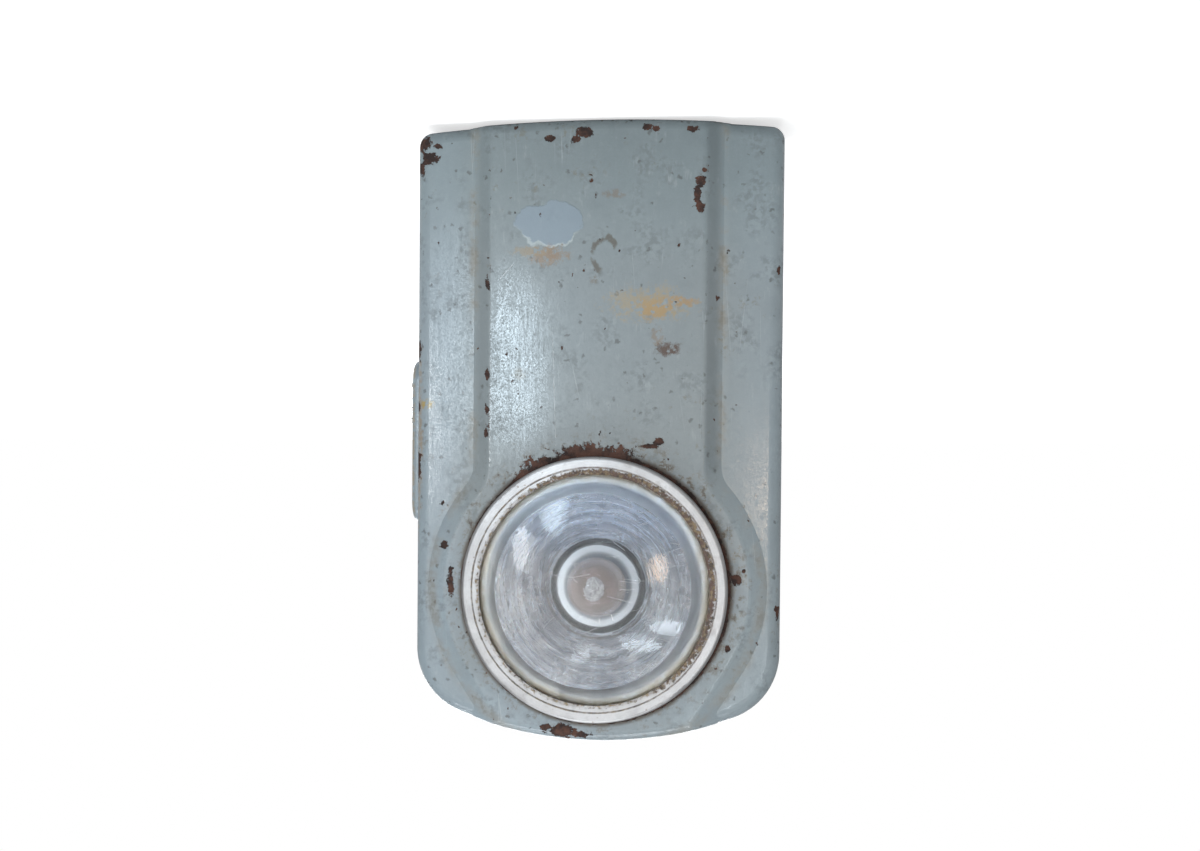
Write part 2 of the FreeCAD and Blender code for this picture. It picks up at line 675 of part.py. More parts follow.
def keyhole_block(name, inset):
    """The raised panel as a flat-topped block, its flanks sloped by a long chamfer."""
    crest = f"({PANEL_CREST} - {inset})"
    root = f"({crest} - flank_root)"
    tall = "(flank_root + flank_over)"
    slope = "(flank_run / panel_rise)"
    thinner = f"({inset} * sqrt(flank_run^2 + panel_rise^2) / panel_rise)"
    body = new_body(name)
    sketch = new_sketch(body, f"{name}_foot", "XZ", away=root)
    draw_keyhole(sketch, f"({slope} * ({PANEL_SHOULDER} - {root} - flank_ledge) - {thinner})")
    pad(body, sketch, tall)
    top = -number(f"{root} + {tall}")
    ends = (number("-base_corner"), number("case_height + base_corner"))
    names = []
    for index, edge in enumerate(body.Tip.Shape.Edges, start=1):
        points = samples(edge)
        at_top = all(abs(point.y - top) < 1e-4 for point in points)
        at_end = any(all(abs(point.z - end) < 1e-4 for point in points) for end in ends)
        if at_top and not at_end:
            names.append(f"Edge{index}")
    block = body.Tip
    flank = body.newObject("PartDesign::Chamfer", f"{name}_flank")
    flank.Base = (block, names)
    flank.ChamferType = "Two distances"
    flank.setExpression("Size", bound(f"{tall} - flank_ledge"))
    flank.setExpression("Size2", bound(f"({tall} - flank_ledge) * {slope}"))
    DOC.recompute()
    return body


def pressed_form(name, inset, rear):
    """Side panels and raised panel together, moved inwards by a formula."""
    low = front_block(f"{name}_low", inset, "0", "front_bend", rear)
    high = front_block(f"{name}_high", inset, "panel_rise", "panel_edge_bend", "0")
    keyhole = keyhole_block(f"{name}_keyhole", inset)
    panel = part_object("MultiCommon", f"{name}_panel", Shapes=[high, keyhole])
    if number(inset) == 0:
        panel = round_shoulder(f"{name}_shoulder", panel)
    return part_object("MultiFuse", name, Shapes=[low, panel], Refine=True)


def round_shoulder(name, panel):
    """The panel with the bend where its crown turns into the flanks."""
    on_front = crown_test(PANEL_CREST, f"({FRONT_CURVE} + panel_rise)")
    flanks = [face for face in panel.Shape.Faces if is_flank(face)]
    bend = number("panel_bend")
    shoulder = []
    for index, edge in enumerate(panel.Shape.Edges, start=1):
        if on_front(edge) and any(edge.isSame(other) for face in flanks for other in face.Edges):
            shoulder.append((index, bend, bend))
    return part_object("Fillet", name, Base=panel, Edges=shoulder)


def is_flank(face):
    """Whether a face is one of the raised panel's sloping flanks."""
    surface = face.Surface
    if isinstance(surface, Part.Cone):
        return True
    return isinstance(surface, Part.Plane) and 0.3 < abs(surface.Axis.y) < 0.99


CLIP_REACH = f"({LID_CREST} + clip_gap + 2 * clip_sheet + clip_kick)"
SLIDER_OFF = "(housing_low + slider_place)"
BUTTON_AT = "(housing_low + button_place)"
RIVET_LOW = "(housing_low + housing_rivet_low)"
RIVET_HIGH = "(housing_low + housing_rivet_high)"
LEAF_LOW = "(housing_low + leaf_low)"
BASE_LOW = "(housing_low + base_low)"
BASE_HIGH = "(housing_low + base_high)"
SHANK_BORE = "(rivet_radius + rivet_fit)"
CATCH_TOP = "(case_height - shell_sheet - catch_half^2 / (2 * (top_arch - shell_sheet)) - seat_gap)"
CATCH_TAIL = f"({LID_TOP} - lid_sheet - catch_gap)"
NOSE_HIGH = f"({SLIDER_OFF} + tongue_reach)"

outside = pressed_form("shell_outside", "0", WALL_REAR)
hollow = pressed_form("shell_hollow", "shell_sheet", f"({WALL_REAR} + 1)")
tray = part_object("Cut", "shell_tray", Base=outside, Tool=hollow)

# The collar is drawn forwards out of the panel; the lens ring snaps on it.
COLLAR_ROOT = f"({PANEL_CREST} - shell_sheet - front_crown * (2 * ring_radius / case_width)^2)"
collar = cylinder(
    "shell_collar", COLLAR, f"{RIM_BACK} - {COLLAR_ROOT}", ("0", f"-{COLLAR_ROOT}", "lens_height"), FORWARD
)
blank = part_object("MultiFuse", "shell_blank", Shapes=[tray, collar])

openings = [
    cylinder(
        "lens_opening",
        COLLAR_BORE,
        f"{RIM_BACK} - {COLLAR_ROOT} + 2 * shell_sheet",
        ("0", f"-({COLLAR_ROOT} - shell_sheet)", "lens_height"),
        FORWARD,
    ),
    cylinder(
        "pin_bore",
        "pin_radius + pin_hold",
        "2 * case_width",
        ("-case_width", HINGE_DEPTH, "hinge_height"),
        ACROSS,
    ),
    box(
        "tongue_window",
        (
            f"{WALL_INSIDE} - shell_sheet",
            "-(tongue_side + tongue_width / 2 + window_play)",
            f"{NOSE_HIGH} - nose_length - window_play",
        ),
        (
            f"{WALL} + shell_sheet",
            "-(tongue_side - tongue_width / 2 - window_play)",
            f"{NOSE_HIGH} + slider_travel + window_play",
        ),
    ),
]
for name, radius, height in (
    ("button_bore", "button_pin + button_pin_play", BUTTON_AT),
    ("low_rivet_bore", SHANK_BORE, RIVET_LOW),
    ("high_rivet_bore", SHANK_BORE, RIVET_HIGH),
):
    openings.append(cylinder(name, radius, "3 * shell_sheet", (f"{WALL_INSIDE} - shell_sheet", "0", height), ACROSS))
openings.append(
    cylinder(
        "catch_rivet_bore",
        SHANK_BORE,
        "3 * shell_sheet",
        ("0", "catch_rivet_place", "case_height - 2 * shell_sheet"),
        Rotation(),
    )
)
cuts = part_object("MultiFuse", "shell_openings", Shapes=openings)
finish(part_object("Cut", "shell", Base=blank, Tool=cuts), "front_shell")


# ---------------------------------------------------------------- lens ring and lens

ring = turned_about_lens(
    "ring",
    [
        (RING_BACK, SKIRT_BORE),
        (RING_BACK, "ring_radius"),
        (RING_FRONT, "ring_radius"),
        (RING_FRONT, "ring_step_radius"),
        (f"{RING_FRONT} - ring_step", "ring_step_radius"),
        (f"{RING_FRONT} - ring_step", "ring_mouth"),
        (LIP_BACK, "ring_mouth"),
        (LIP_BACK, SKIRT_BORE),
    ],
)
round_edges(ring, "ring_rim", "ring_bend", ring_edge(f"-{RING_FRONT}", "ring_radius"))
finish(ring, "bezel_ring")

LENS_MOUTH = "(ring_mouth - lens_gap)"
INNER_SHOULDER = "(lens_shoulder - lens_sheet)"
lens = turned_about_lens(
    "window",
    [
        (FLANGE_BACK, RIM),
        (FLANGE_FRONT, RIM),
        (FLANGE_FRONT, LENS_MOUTH),
        (LENS_SHOULDER, "lens_shoulder"),
        (LENS_CREST, "0"),
        (f"{LENS_CREST} - lens_sheet", "0"),
        (f"{LENS_SHOULDER} - lens_sheet", INNER_SHOULDER),
        (FLANGE_BACK, f"{LENS_MOUTH} - lens_sheet"),
    ],
    {
        3: ("((lens_shoulder^2 + lens_dome^2) / (2 * lens_dome))", 1),
        5: (f"(({INNER_SHOULDER}^2 + lens_dome^2) / (2 * lens_dome))", -1),
    },
)
round_edges(lens, "window_shoulder", "lens_bend", ring_edge(f"-{LENS_SHOULDER}", "lens_shoulder"))
finish(lens, "lens")


# ---------------------------------------------------------------- reflector and bulb socket

reflector = turned_about_lens(
    "bowl",
    [
        (RIM_FRONT, "bowl_mouth"),
        (BOWL_FLOOR, "bowl_floor"),
        (BOWL_FLOOR, NECK_BORE),
        (f"{BOWL_FLOOR} - neck_length", NECK_BORE),
        (f"{BOWL_FLOOR} - neck_length", f"{NECK_BORE} + reflector_sheet"),
        (f"{BOWL_FLOOR} - reflector_sheet", f"{NECK_BORE} + reflector_sheet"),
        (f"{BOWL_FLOOR} - reflector_sheet", "bowl_floor + reflector_sheet / 2"),
        (RIM_BACK, "bowl_mouth + reflector_sheet"),
        (RIM_BACK, RIM),
        (RIM_FRONT, RIM),
    ],
    {0: ("bowl_curve", -1), 6: ("(bowl_curve + reflector_sheet)", 1)},
)
finish(reflector, "reflector")

FLANGE_FACE = f"({BOWL_FLOOR} + socket_wall)"
socket = turned_about_lens(
    "socket",
    [
        (BOWL_FLOOR, SOCKET),
        (BOWL_FLOOR, "socket_flange"),
        (FLANGE_FACE, "socket_flange"),
        (FLANGE_FACE, "socket_bore"),
        (f"{FLANGE_FACE} - socket_length", "socket_bore"),
        (f"{FLANGE_FACE} - socket_length", SOCKET),
    ],
)
finish(socket, "bulb_socket")


# ---------------------------------------------------------------- bulb

NECK_END = f"({CAP_FRONT} - neck_reach)"
GLASS_BORE = f"({GLASS_NECK} - globe_sheet)"
GLOBE_BORE = "(globe_radius - globe_sheet)"
globe = turned_about_lens(
    "glass",
    [
        (f"{GLOBE} + globe_radius + pip_length", "0"),
        (f"{GLOBE} + sqrt(globe_radius^2 - pip_radius^2)", "pip_radius"),
        (GLOBE, "globe_radius"),
        (f"{GLOBE} - sqrt(globe_radius^2 - {GLASS_NECK}^2)", GLASS_NECK),
        (NECK_END, GLASS_NECK),
        (NECK_END, GLASS_BORE),
        (f"{GLOBE} - sqrt({GLOBE_BORE}^2 - {GLASS_BORE}^2)", GLASS_BORE),
        (GLOBE, GLOBE_BORE),
        (f"{GLOBE} + {GLOBE_BORE}", "0"),
    ],
    {
        1: ("globe_radius", -1),
        2: ("globe_radius", -1),
        6: (GLOBE_BORE, 1),
        7: (GLOBE_BORE, 1),
    },
)
finish(globe, "bulb_globe")

STEM_END = f"({NECK_END} + stem_length)"
stem = turned_about_lens(
    "stem",
    [
        (NECK_END, "0"),
        (NECK_END, f"{GLASS_BORE} - seat_gap"),
        (f"{NECK_END} + globe_sheet", f"{GLASS_BORE} - seat_gap"),
        (f"{NECK_END} + 3 * globe_sheet", "stem_radius"),
        (f"{STEM_END} - bead_radius", "stem_radius"),
        (f"{STEM_END} - bead_radius / 2", "bead_radius"),
        (STEM_END, "stem_radius / 2"),
        (STEM_END, "0"),
    ],
)
finish(stem, "bulb_stem")

leads = []
for side, sign in (("left", "-"), ("right", "")):
    wire = new_body(f"{side}_lead")
    profile = new_sketch(wire, f"{side}_lead_profile", "YZ", away=f"{sign}lead_spread", up="lens_height")
    draw_box(profile, f"-{GLOBE}", f"-({NECK_END} + 3 * globe_sheet)", "0", "lead_radius")
    turn(wire, profile)
    leads.append(wire)
finish(part_object("Compound", "leads", Links=leads), "bulb_leads")

coil = new_body("coil")
profile = new_sketch(coil, "coil_profile", "XZ", away=f"{GLOBE} + filament_radius", up="lens_height")
draw_box(profile, "-lead_spread", "lead_spread", "0", "filament_radius")
turn(coil, profile)
finish(coil, "bulb_filament")

cap = turned_about_lens(
    "cap",
    [(CAP_FRONT, CAP_BORE), (CAP_FRONT, "cap_radius"), (CAP_BACK, "cap_radius"), (CAP_BACK, CAP_BORE)],
)
finish(cap, "bulb_cap")

insulator = turned_about_lens(
    "black_glass",
    [
        (f"{CAP_BACK} + 2 * cap_wall", "0"),
        (f"{CAP_BACK} + 2 * cap_wall", f"{CAP_BORE} - seat_gap"),
        (CAP_BACK, f"{CAP_BORE} - seat_gap"),
        (INSULATOR_BACK, "tip_radius + cap_wall"),
        (INSULATOR_BACK, "0"),
    ],
)
finish(insulator, "bulb_insulator")

TIP_DOME = "(tip_length / 2)"
tip = turned_about_lens(
    "solder",
    [
        (INSULATOR_BACK, "0"),
        (INSULATOR_BACK, "tip_radius"),
        (f"{TIP_BACK} + {TIP_DOME}", "tip_radius"),
        (TIP_BACK, "0"),
    ],
    {2: (f"((tip_radius^2 + {TIP_DOME}^2) / (2 * {TIP_DOME}))", -1)},
)
finish(tip, "bulb_tip")


# ---------------------------------------------------------------- battery

carton = new_body("carton")
plan = new_sketch(carton, "carton_plan", "XY", away=BATTERY_LOW)
draw_rounded(plan, f"-{BATTERY_HALF}", BATTERY_HALF, BATTERY_FRONT, BATTERY_BACK, "battery_corner")
pad(carton, plan, "battery_height")
finish(carton, "battery_case")

seal = new_body("seal")
plan = new_sketch(seal, "seal_plan", "XY", away=BATTERY_HIGH)
draw_rounded(
    plan,
    f"-({BATTERY_HALF} - seal_inset)",
    f"({BATTERY_HALF} - seal_inset)",
    f"({BATTERY_FRONT} + seal_inset)",
    f"({BATTERY_BACK} - seal_inset)",
    "(battery_corner - seal_inset)",
)
pad(seal, plan, "seal_height")
finish(seal, "battery_seal")

upright = new_body("upright_strip")
plan = new_sketch(upright, "upright_strip_plan", "XY", away=SEAL_HIGH)
STRIP_FACE = f"(contact_gap - {TIP_BACK})"
draw_box(plan, "-strip_width / 2", "strip_width / 2", STRIP_FACE, f"{STRIP_FACE} + strip_sheet")
pad(upright, plan, f"lens_height + strip_over - {SEAL_HIGH}")
finish(upright, "battery_short_strip")

folded = new_body("folded_strip")
profile = new_sketch(folded, "folded_strip_profile", "XZ", away="strip_width / 2")
SHELF = f"({SEAL_HIGH} + strip_shelf)"
REACH = f"({LEAF_INSIDE} - seat_gap)"
draw_loop(
    profile,
    [
        (STRIP_ROOT, SEAL_HIGH),
        (f"{STRIP_ROOT} + strip_sheet", SEAL_HIGH),
        (f"{STRIP_ROOT} + strip_sheet", f"{SHELF} - strip_sheet"),
        (REACH, f"{SHELF} - strip_sheet"),
        (REACH, f"{SHELF} + strip_end"),
        (f"{REACH} - strip_sheet", f"{SHELF} + strip_end"),
        (f"{REACH} - strip_sheet", SHELF),
        (STRIP_ROOT, SHELF),
    ],
)
pad(folded, profile, "strip_width", backwards=True)
finish(folded, "battery_long_strip")


# ---------------------------------------------------------------- switch

def at_place(place):
    """A test for edges in the plane across X at a place."""
    place = number(place)
    return lambda edge: all(abs(point.x - place) < 1e-4 for point in samples(edge))


housing = new_body("housing")
HOUSING_HALF = "(housing_width / 2)"
HOUSING_HIGH = "(housing_low + housing_length)"
outline = new_sketch(housing, "housing_outline", "YZ", away=WALL)
draw_rounded(outline, f"-{HOUSING_HALF}", HOUSING_HALF, "housing_low", HOUSING_HIGH, "housing_corner")
pad(housing, outline, "housing_height")
round_edges(housing, "housing_edge", "housing_bend", at_place(HOUSING_TOP))
inside = new_sketch(housing, "housing_inside", "YZ", away=WALL)
draw_rounded(
    inside,
    f"-({HOUSING_HALF} - housing_sheet)",
    f"({HOUSING_HALF} - housing_sheet)",
    "(housing_low + housing_sheet)",
    f"({HOUSING_HIGH} - housing_sheet)",
    "(housing_corner - housing_sheet)",
)
pocket(housing, inside, "housing_height - housing_sheet", backwards=True)
holes = new_sketch(housing, "housing_holes", "YZ", away=WALL)
draw_box(
    holes,
    "-(stem_width / 2 + slider_play)",
    "stem_width / 2 + slider_play",
    f"{SLIDER_OFF} - stem_length_z / 2 - slider_play",
    f"{SLIDER_OFF} + slider_travel + stem_length_z / 2 + slider_play",
)
draw_circle(holes, "button_radius + button_play", "0", BUTTON_AT)
draw_circle(holes, SHANK_BORE, "0", RIVET_LOW)
draw_circle(holes, SHANK_BORE, "0", RIVET_HIGH)
pocket(housing, holes, "2 * housing_height", backwards=True)
finish(housing, "switch_housing")

rivets = []
for side, height, inner in (("low", RIVET_LOW, WALL_INSIDE), ("high", RIVET_HIGH, LEAF_INSIDE)):
    rivets.append(
        turned_about_switch(
            f"{side}_rivet",
            height,
            [
                (f"{inner} - head_height", "0"),
                (f"{inner} - head_height", "rivet_head"),
                (inner, "rivet_head"),
                (inner, "rivet_radius"),
                (HOUSING_TOP, "rivet_radius"),
                (HOUSING_TOP, "rivet_head"),
                (f"{HOUSING_TOP} + head_height", "rivet_radius"),
                (f"{HOUSING_TOP} + head_height", "0"),
            ],
        )
    )
finish(part_object("Compound", "switch_rivet_pair", Links=rivets), "switch_rivets")

plate = new_body("plate")
outline = new_sketch(plate, "plate_outline", "YZ", away=BASE_INSIDE)
draw_box(outline, "-base_half", "base_half", BASE_LOW, BASE_HIGH)
draw_circle(outline, SHANK_BORE, "0", RIVET_HIGH)
pad(plate, outline, "base_sheet")
finish(plate, "switch_base")

leaf = new_body("leaf")
outline = new_sketch(leaf, "leaf_outline", "YZ", away=LEAF_INSIDE)
draw_box(outline, "-base_half", "base_half", LEAF_LOW, BASE_HIGH)
draw_circle(outline, SHANK_BORE, "0", RIVET_HIGH)
pad(leaf, outline, "leaf_sheet")
finish(leaf, "switch_leaf")

slider = new_body("slider")
foot = new_sketch(slider, "slider_foot", "YZ", away=FOOT_LOW)
draw_box(
    foot,
    "-foot_width / 2",
    "foot_width / 2",
    f"{SLIDER_OFF} - foot_length / 2",
    f"{SLIDER_OFF} + foot_length / 2",
)
pad(slider, foot, "foot_height")
stalk = new_sketch(slider, "slider_stem", "YZ", away=FOOT_HIGH)
draw_box(
    stalk,
    "-stem_width / 2",
    "stem_width / 2",
    f"{SLIDER_OFF} - stem_length_z / 2",
    f"{SLIDER_OFF} + stem_length_z / 2",
)
pad(slider, stalk, f"{HOUSING_TOP} + knob_gap - {FOOT_HIGH}")
thumb = new_sketch(slider, "slider_thumb", "YZ", away=f"{HOUSING_TOP} + knob_gap")
draw_rounded(
    thumb,
    "-knob_width / 2",
    "knob_width / 2",
    f"({SLIDER_OFF} - knob_length / 2)",
    f"({SLIDER_OFF} + knob_length / 2)",
    "stem_width / 2",
)
pad(slider, thumb, "knob_stand - knob_gap")
groove = new_sketch(slider, "slider_groove", "YZ", away=KNOB_TOP)
draw_box(
    groove,
    "-knob_width",
    "knob_width",
    f"{SLIDER_OFF} - 2 * rib_pitch - rib_groove / 2",
    f"{SLIDER_OFF} - 2 * rib_pitch + rib_groove / 2",
)
first_groove = pocket(slider, groove, "rib_depth")
ribs = slider.newObject("PartDesign::LinearPattern", "slider_ribs")
ribs.Originals = [first_groove]
ribs.Direction = (groove, ["V_Axis"])
ribs.setExpression("Length", bound("4 * rib_pitch"))
ribs.Occurrences = 5
slider.Tip = ribs
DOC.recompute()
finish(slider, "switch_slider")

contact = new_body("contact")
TONGUE_NEAR = "-(tongue_side - tongue_width / 2)"
TONGUE_FAR = "-(tongue_side + tongue_width / 2)"
sole = new_sketch(contact, "contact_sole", "YZ", away=f"{FOOT_LOW} - tongue_sheet")
draw_box(
    sole,
    "-foot_width / 2",
    "foot_width / 2",
    f"{SLIDER_OFF} - foot_length / 2",
    f"{SLIDER_OFF} + foot_length / 2",
)
pad(contact, sole, "tongue_sheet")
tongue = new_sketch(contact, "contact_tongue", "YZ", away=f"{FOOT_LOW} - tongue_sheet")
draw_box(tongue, TONGUE_FAR, TONGUE_NEAR, SLIDER_OFF, NOSE_HIGH)
pad(contact, tongue, "tongue_sheet")
nose = new_sketch(contact, "contact_nose", "YZ", away=PIN_END)
draw_box(nose, TONGUE_FAR, TONGUE_NEAR, f"{NOSE_HIGH} - nose_length", NOSE_HIGH)
pad(contact, nose, f"{FOOT_LOW} - {PIN_END}")
finish(contact, "slider_contact")

button = turned_about_switch(
    "button",
    BUTTON_AT,
    [
        (f"{BUTTON_SEAT} - flange_height", "0"),
        (f"{BUTTON_SEAT} - flange_height", "button_flange"),
        (BUTTON_SEAT, "button_flange"),
        (BUTTON_SEAT, "button_radius"),
        (f"{KNOB_TOP} - button_dome", "button_radius"),
        (KNOB_TOP, "0"),
    ],
    {4: ("((button_radius^2 + button_dome^2) / (2 * button_dome))", -1)},
)
finish(button, "morse_button")

pin = turned_about_switch(
    "pin",
    BUTTON_AT,
    [
        (PIN_END, "0"),
        (PIN_END, "button_pin"),
        (f"{BUTTON_SEAT} - flange_height", "button_pin"),
        (f"{BUTTON_SEAT} - flange_height", "0"),
    ],
)
finish(pin, "button_pin")


# ---------------------------------------------------------------- back cover and its hinge

LID_INSET = "(shell_sheet + lid_gap)"
LID_INSIDE = f"({LID_CREST} - lid_sheet - lid_crown)"
lid = new_body("lid")
outline = new_sketch(lid, "lid_outline", "XZ", away=f"-{LID_CREST}")
draw_case_outline(outline, LID_INSET)
pad(lid, outline, "lid_depth")
crown = new_sketch(lid, "lid_crown_cut", "XY", away="-2 * case_width")
crown_edge = f"({LID_CREST} - {LID_CURVE} + sqrt({LID_CURVE}^2 - case_width^2))"
draw_loop(
    crown,
    [
        ("-case_width", crown_edge),
        ("case_width", crown_edge),
        ("case_width", f"{LID_CREST} + case_width"),
        ("-case_width", f"{LID_CREST} + case_width"),
    ],
    {0: (LID_CURVE, -1)},
)
pocket(lid, crown, "4 * case_height", backwards=True)
lid_crest = number(LID_CREST)
lid_curve = number(LID_CURVE)


def on_lid(edge):
    """Whether an edge lies on the crowned back."""
    for point in samples(edge):
        depth = lid_crest - lid_curve + (lid_curve**2 - point.x**2) ** 0.5
        if abs(point.y - depth) > 1e-3:
            return False
    return True


round_edges(lid, "lid_edge", "lid_bend", on_lid)
inside = new_sketch(lid, "lid_inside", "XZ", away=f"-({LID_CREST} - lid_depth)")
draw_case_outline(inside, f"({LID_INSET} + lid_sheet)")
pocket(lid, inside, "lid_depth - lid_sheet - lid_crown")
below = new_sketch(lid, "lid_below_hinge", "XZ", away=f"-({LID_CREST} - 2 * lid_depth)")
draw_box(below, "-case_width", "case_width", "-case_depth", "hinge_height")
pocket(lid, below, "3 * lid_depth")
for side, near, far in (("left", "-case_width", f"-{ROLL_HALF}"), ("right", ROLL_HALF, "case_width")):
    relief = new_sketch(lid, f"lid_{side}_relief", "XZ", away=f"-({LID_CREST} - 2 * lid_depth)")
    draw_box(relief, near, far, "0", "hinge_height + corner_relief")
    pocket(lid, relief, "3 * lid_depth")
roll = new_sketch(lid, "lid_roll", "YZ", away=f"-{ROLL_HALF}")
draw_circle(roll, ROLL, HINGE_DEPTH, "hinge_height")
pad(lid, roll, f"2 * {ROLL_HALF}")
bore = new_sketch(lid, "lid_pin_bore", "YZ", away=f"-{ROLL_HALF}")
draw_circle(bore, "pin_radius + pin_fit", HINGE_DEPTH, "hinge_height")
pocket(lid, bore, f"2 * {ROLL_HALF}", backwards=True)
rivet_holes = new_sketch(lid, "lid_rivet_holes", "XZ", away=f"-({LID_CREST} - 2 * lid_depth)")
draw_circle(rivet_holes, SHANK_BORE, "0", CLIP_RIVET_LOW)
draw_circle(rivet_holes, SHANK_BORE, "0", CLIP_RIVET_HIGH)
pocket(lid, rivet_holes, "3 * lid_depth")
finish(lid, "back_cover")

wire = new_body("wire")
profile = new_sketch(wire, "wire_profile", "XZ", away=f"-{HINGE_DEPTH}", up="hinge_height")
draw_box(profile, "-(case_width / 2 - pin_inset)", "case_width / 2 - pin_inset", "0", "pin_radius")
turn(wire, profile)
finish(wire, "hinge_pin")

liner = new_body("liner")
outline = new_sketch(liner, "liner_outline", "XZ", away=f"-{LINER_BACK}")
draw_rounded(outline, f"-{LINER_HALF}", LINER_HALF, "liner_low", "(case_height - liner_drop)", "liner_corner")
draw_circle(outline, "2 * rivet_radius + lid_gap", "0", CLIP_RIVET_LOW)
draw_circle(outline, "2 * rivet_radius + lid_gap", "0", CLIP_RIVET_HIGH)
pad(liner, outline, "liner_sheet")
finish(liner, "cover_liner")

clip = new_body("clip")
profile = new_sketch(clip, "clip_profile", "YZ", away="-clip_width / 2")
TURN = "(clip_gap / 2 + clip_sheet)"
CLIP_BACK = f"({LID_CREST} + 2 * {TURN})"
draw_loop(
    profile,
    [
        (LID_CREST, CLIP_LOW),
        (LID_CREST, CLIP_HIGH),
        (f"{LID_CREST} + {TURN}", f"{CLIP_HIGH} + {TURN}"),
        (CLIP_BACK, CLIP_HIGH),
        (CLIP_BACK, CLIP_TIP),
        (f"{CLIP_BACK} + clip_kick", f"{CLIP_TIP} - clip_flare"),
        (f"{CLIP_BACK} + clip_kick - clip_sheet", f"{CLIP_TIP} - clip_flare"),
        (f"{CLIP_BACK} - clip_sheet", CLIP_TIP),
        (f"{CLIP_BACK} - clip_sheet", CLIP_HIGH),
        (f"{LID_CREST} + {TURN}", f"{CLIP_HIGH} + clip_gap / 2"),
        (f"{LID_CREST} + clip_sheet", CLIP_HIGH),
        (f"{LID_CREST} + clip_sheet", CLIP_LOW),
    ],
    {1: (TURN, -1), 2: (TURN, -1), 8: ("(clip_gap / 2)", 1), 9: ("(clip_gap / 2)", 1)},
)
pad(clip, profile, "clip_width")
rivet_holes = new_sketch(clip, "clip_rivet_holes", "XZ", away=f"-({LID_CREST} + clip_sheet)")
draw_circle(rivet_holes, SHANK_BORE, "0", CLIP_RIVET_LOW)
draw_circle(rivet_holes, SHANK_BORE, "0", CLIP_RIVET_HIGH)
pocket(clip, rivet_holes, "clip_sheet", backwards=True)
finish(clip, "belt_clip")

rivets = []
for side, height in (("low", CLIP_RIVET_LOW), ("high", CLIP_RIVET_HIGH)):
    rivet = new_body(f"clip_{side}_rivet")
    profile = new_sketch(rivet, f"clip_{side}_rivet_profile", "YZ", up=height)
    draw_loop(
        profile,
        [
            (f"{LID_INSIDE} - head_height", "0"),
            (f"{LID_INSIDE} - head_height", "rivet_head"),
            (LID_INSIDE, "rivet_head"),
            (LID_INSIDE, "rivet_radius"),
            (f"{LID_CREST} + clip_sheet", "rivet_radius"),
            (f"{LID_CREST} + clip_sheet", "rivet_head"),
            (f"{LID_CREST} + clip_sheet + head_height", "rivet_radius"),
            (f"{LID_CREST} + clip_sheet + head_height", "0"),
        ],
    )
    turn(rivet, profile)
    rivets.append(rivet)
finish(part_object("Compound", "clip_rivet_pair", Links=rivets), "clip_rivets")

catch = new_body("catch")
profile = new_sketch(catch, "catch_profile", "YZ", away="-catch_half")
TAIL = f"({LID_INSIDE} - catch_tail)"
draw_loop(
    profile,
    [
        ("catch_front", CATCH_TOP),
        ("catch_front", f"{CATCH_TOP} - catch_sheet"),
        ("catch_knee", f"{CATCH_TOP} - catch_sheet"),
        ("catch_knee + catch_slope", f"{CATCH_TAIL} - catch_sheet"),
        (TAIL, f"{CATCH_TAIL} - catch_sheet"),
        (TAIL, CATCH_TAIL),
        ("catch_knee + catch_slope", CATCH_TAIL),
        ("catch_knee", CATCH_TOP),
    ],
)
pad(catch, profile, "2 * catch_half")
hole = new_sketch(catch, "catch_hole", "XY", away="case_height")
draw_circle(hole, SHANK_BORE, "0", "catch_rivet_place")
pocket(catch, hole, "4 * catch_half")
finish(catch, "catch_spring")

shank = cylinder(
    "catch_rivet_shank",
    "rivet_radius",
    f"case_height - {CATCH_TOP} + catch_sheet",
    ("0", "catch_rivet_place", f"{CATCH_TOP} - catch_sheet"),
    Rotation(),
)
head = cylinder(
    "catch_rivet_head",
    "rivet_head",
    "head_height",
    ("0", "catch_rivet_place", f"{CATCH_TOP} - catch_sheet - head_height"),
    Rotation(),
)
finish(part_object("MultiFuse", "catch_rivet_whole", Shapes=[shank, head]), "catch_rivet")


# ---------------------------------------------------------------- check and write

DOC.recompute()
for item in DOC.Objects:
    if "Invalid" in item.State or "Error" in item.State:
        raise RuntimeError(f"{item.Name} failed: {item.State}")
for item in SUB_PARTS:
    if item.Shape.isNull() or not item.Shape.isValid():
        raise RuntimeError(f"{item.Label} has no sound shape")

os.makedirs("parts", exist_ok=True)
for item in SUB_PARTS:
    item.Shape.exportStep(f"parts/{item.Label}.step")
    extent = item.Shape.BoundBox
    print(
        f"{item.Label:22s} {len(item.Shape.Solids)} solid(s)"
        f"  x {extent.XMin:7.2f} {extent.XMax:7.2f}"
        f"  y {extent.YMin:7.2f} {extent.YMax:7.2f}"
        f"  z {extent.ZMin:7.2f} {extent.ZMax:7.2f}"
    )
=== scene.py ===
"""A flat pocket signal lamp in old blue-grey enamel, dressed for the studio."""

import math

import bpy
from mathutils import Matrix, Vector


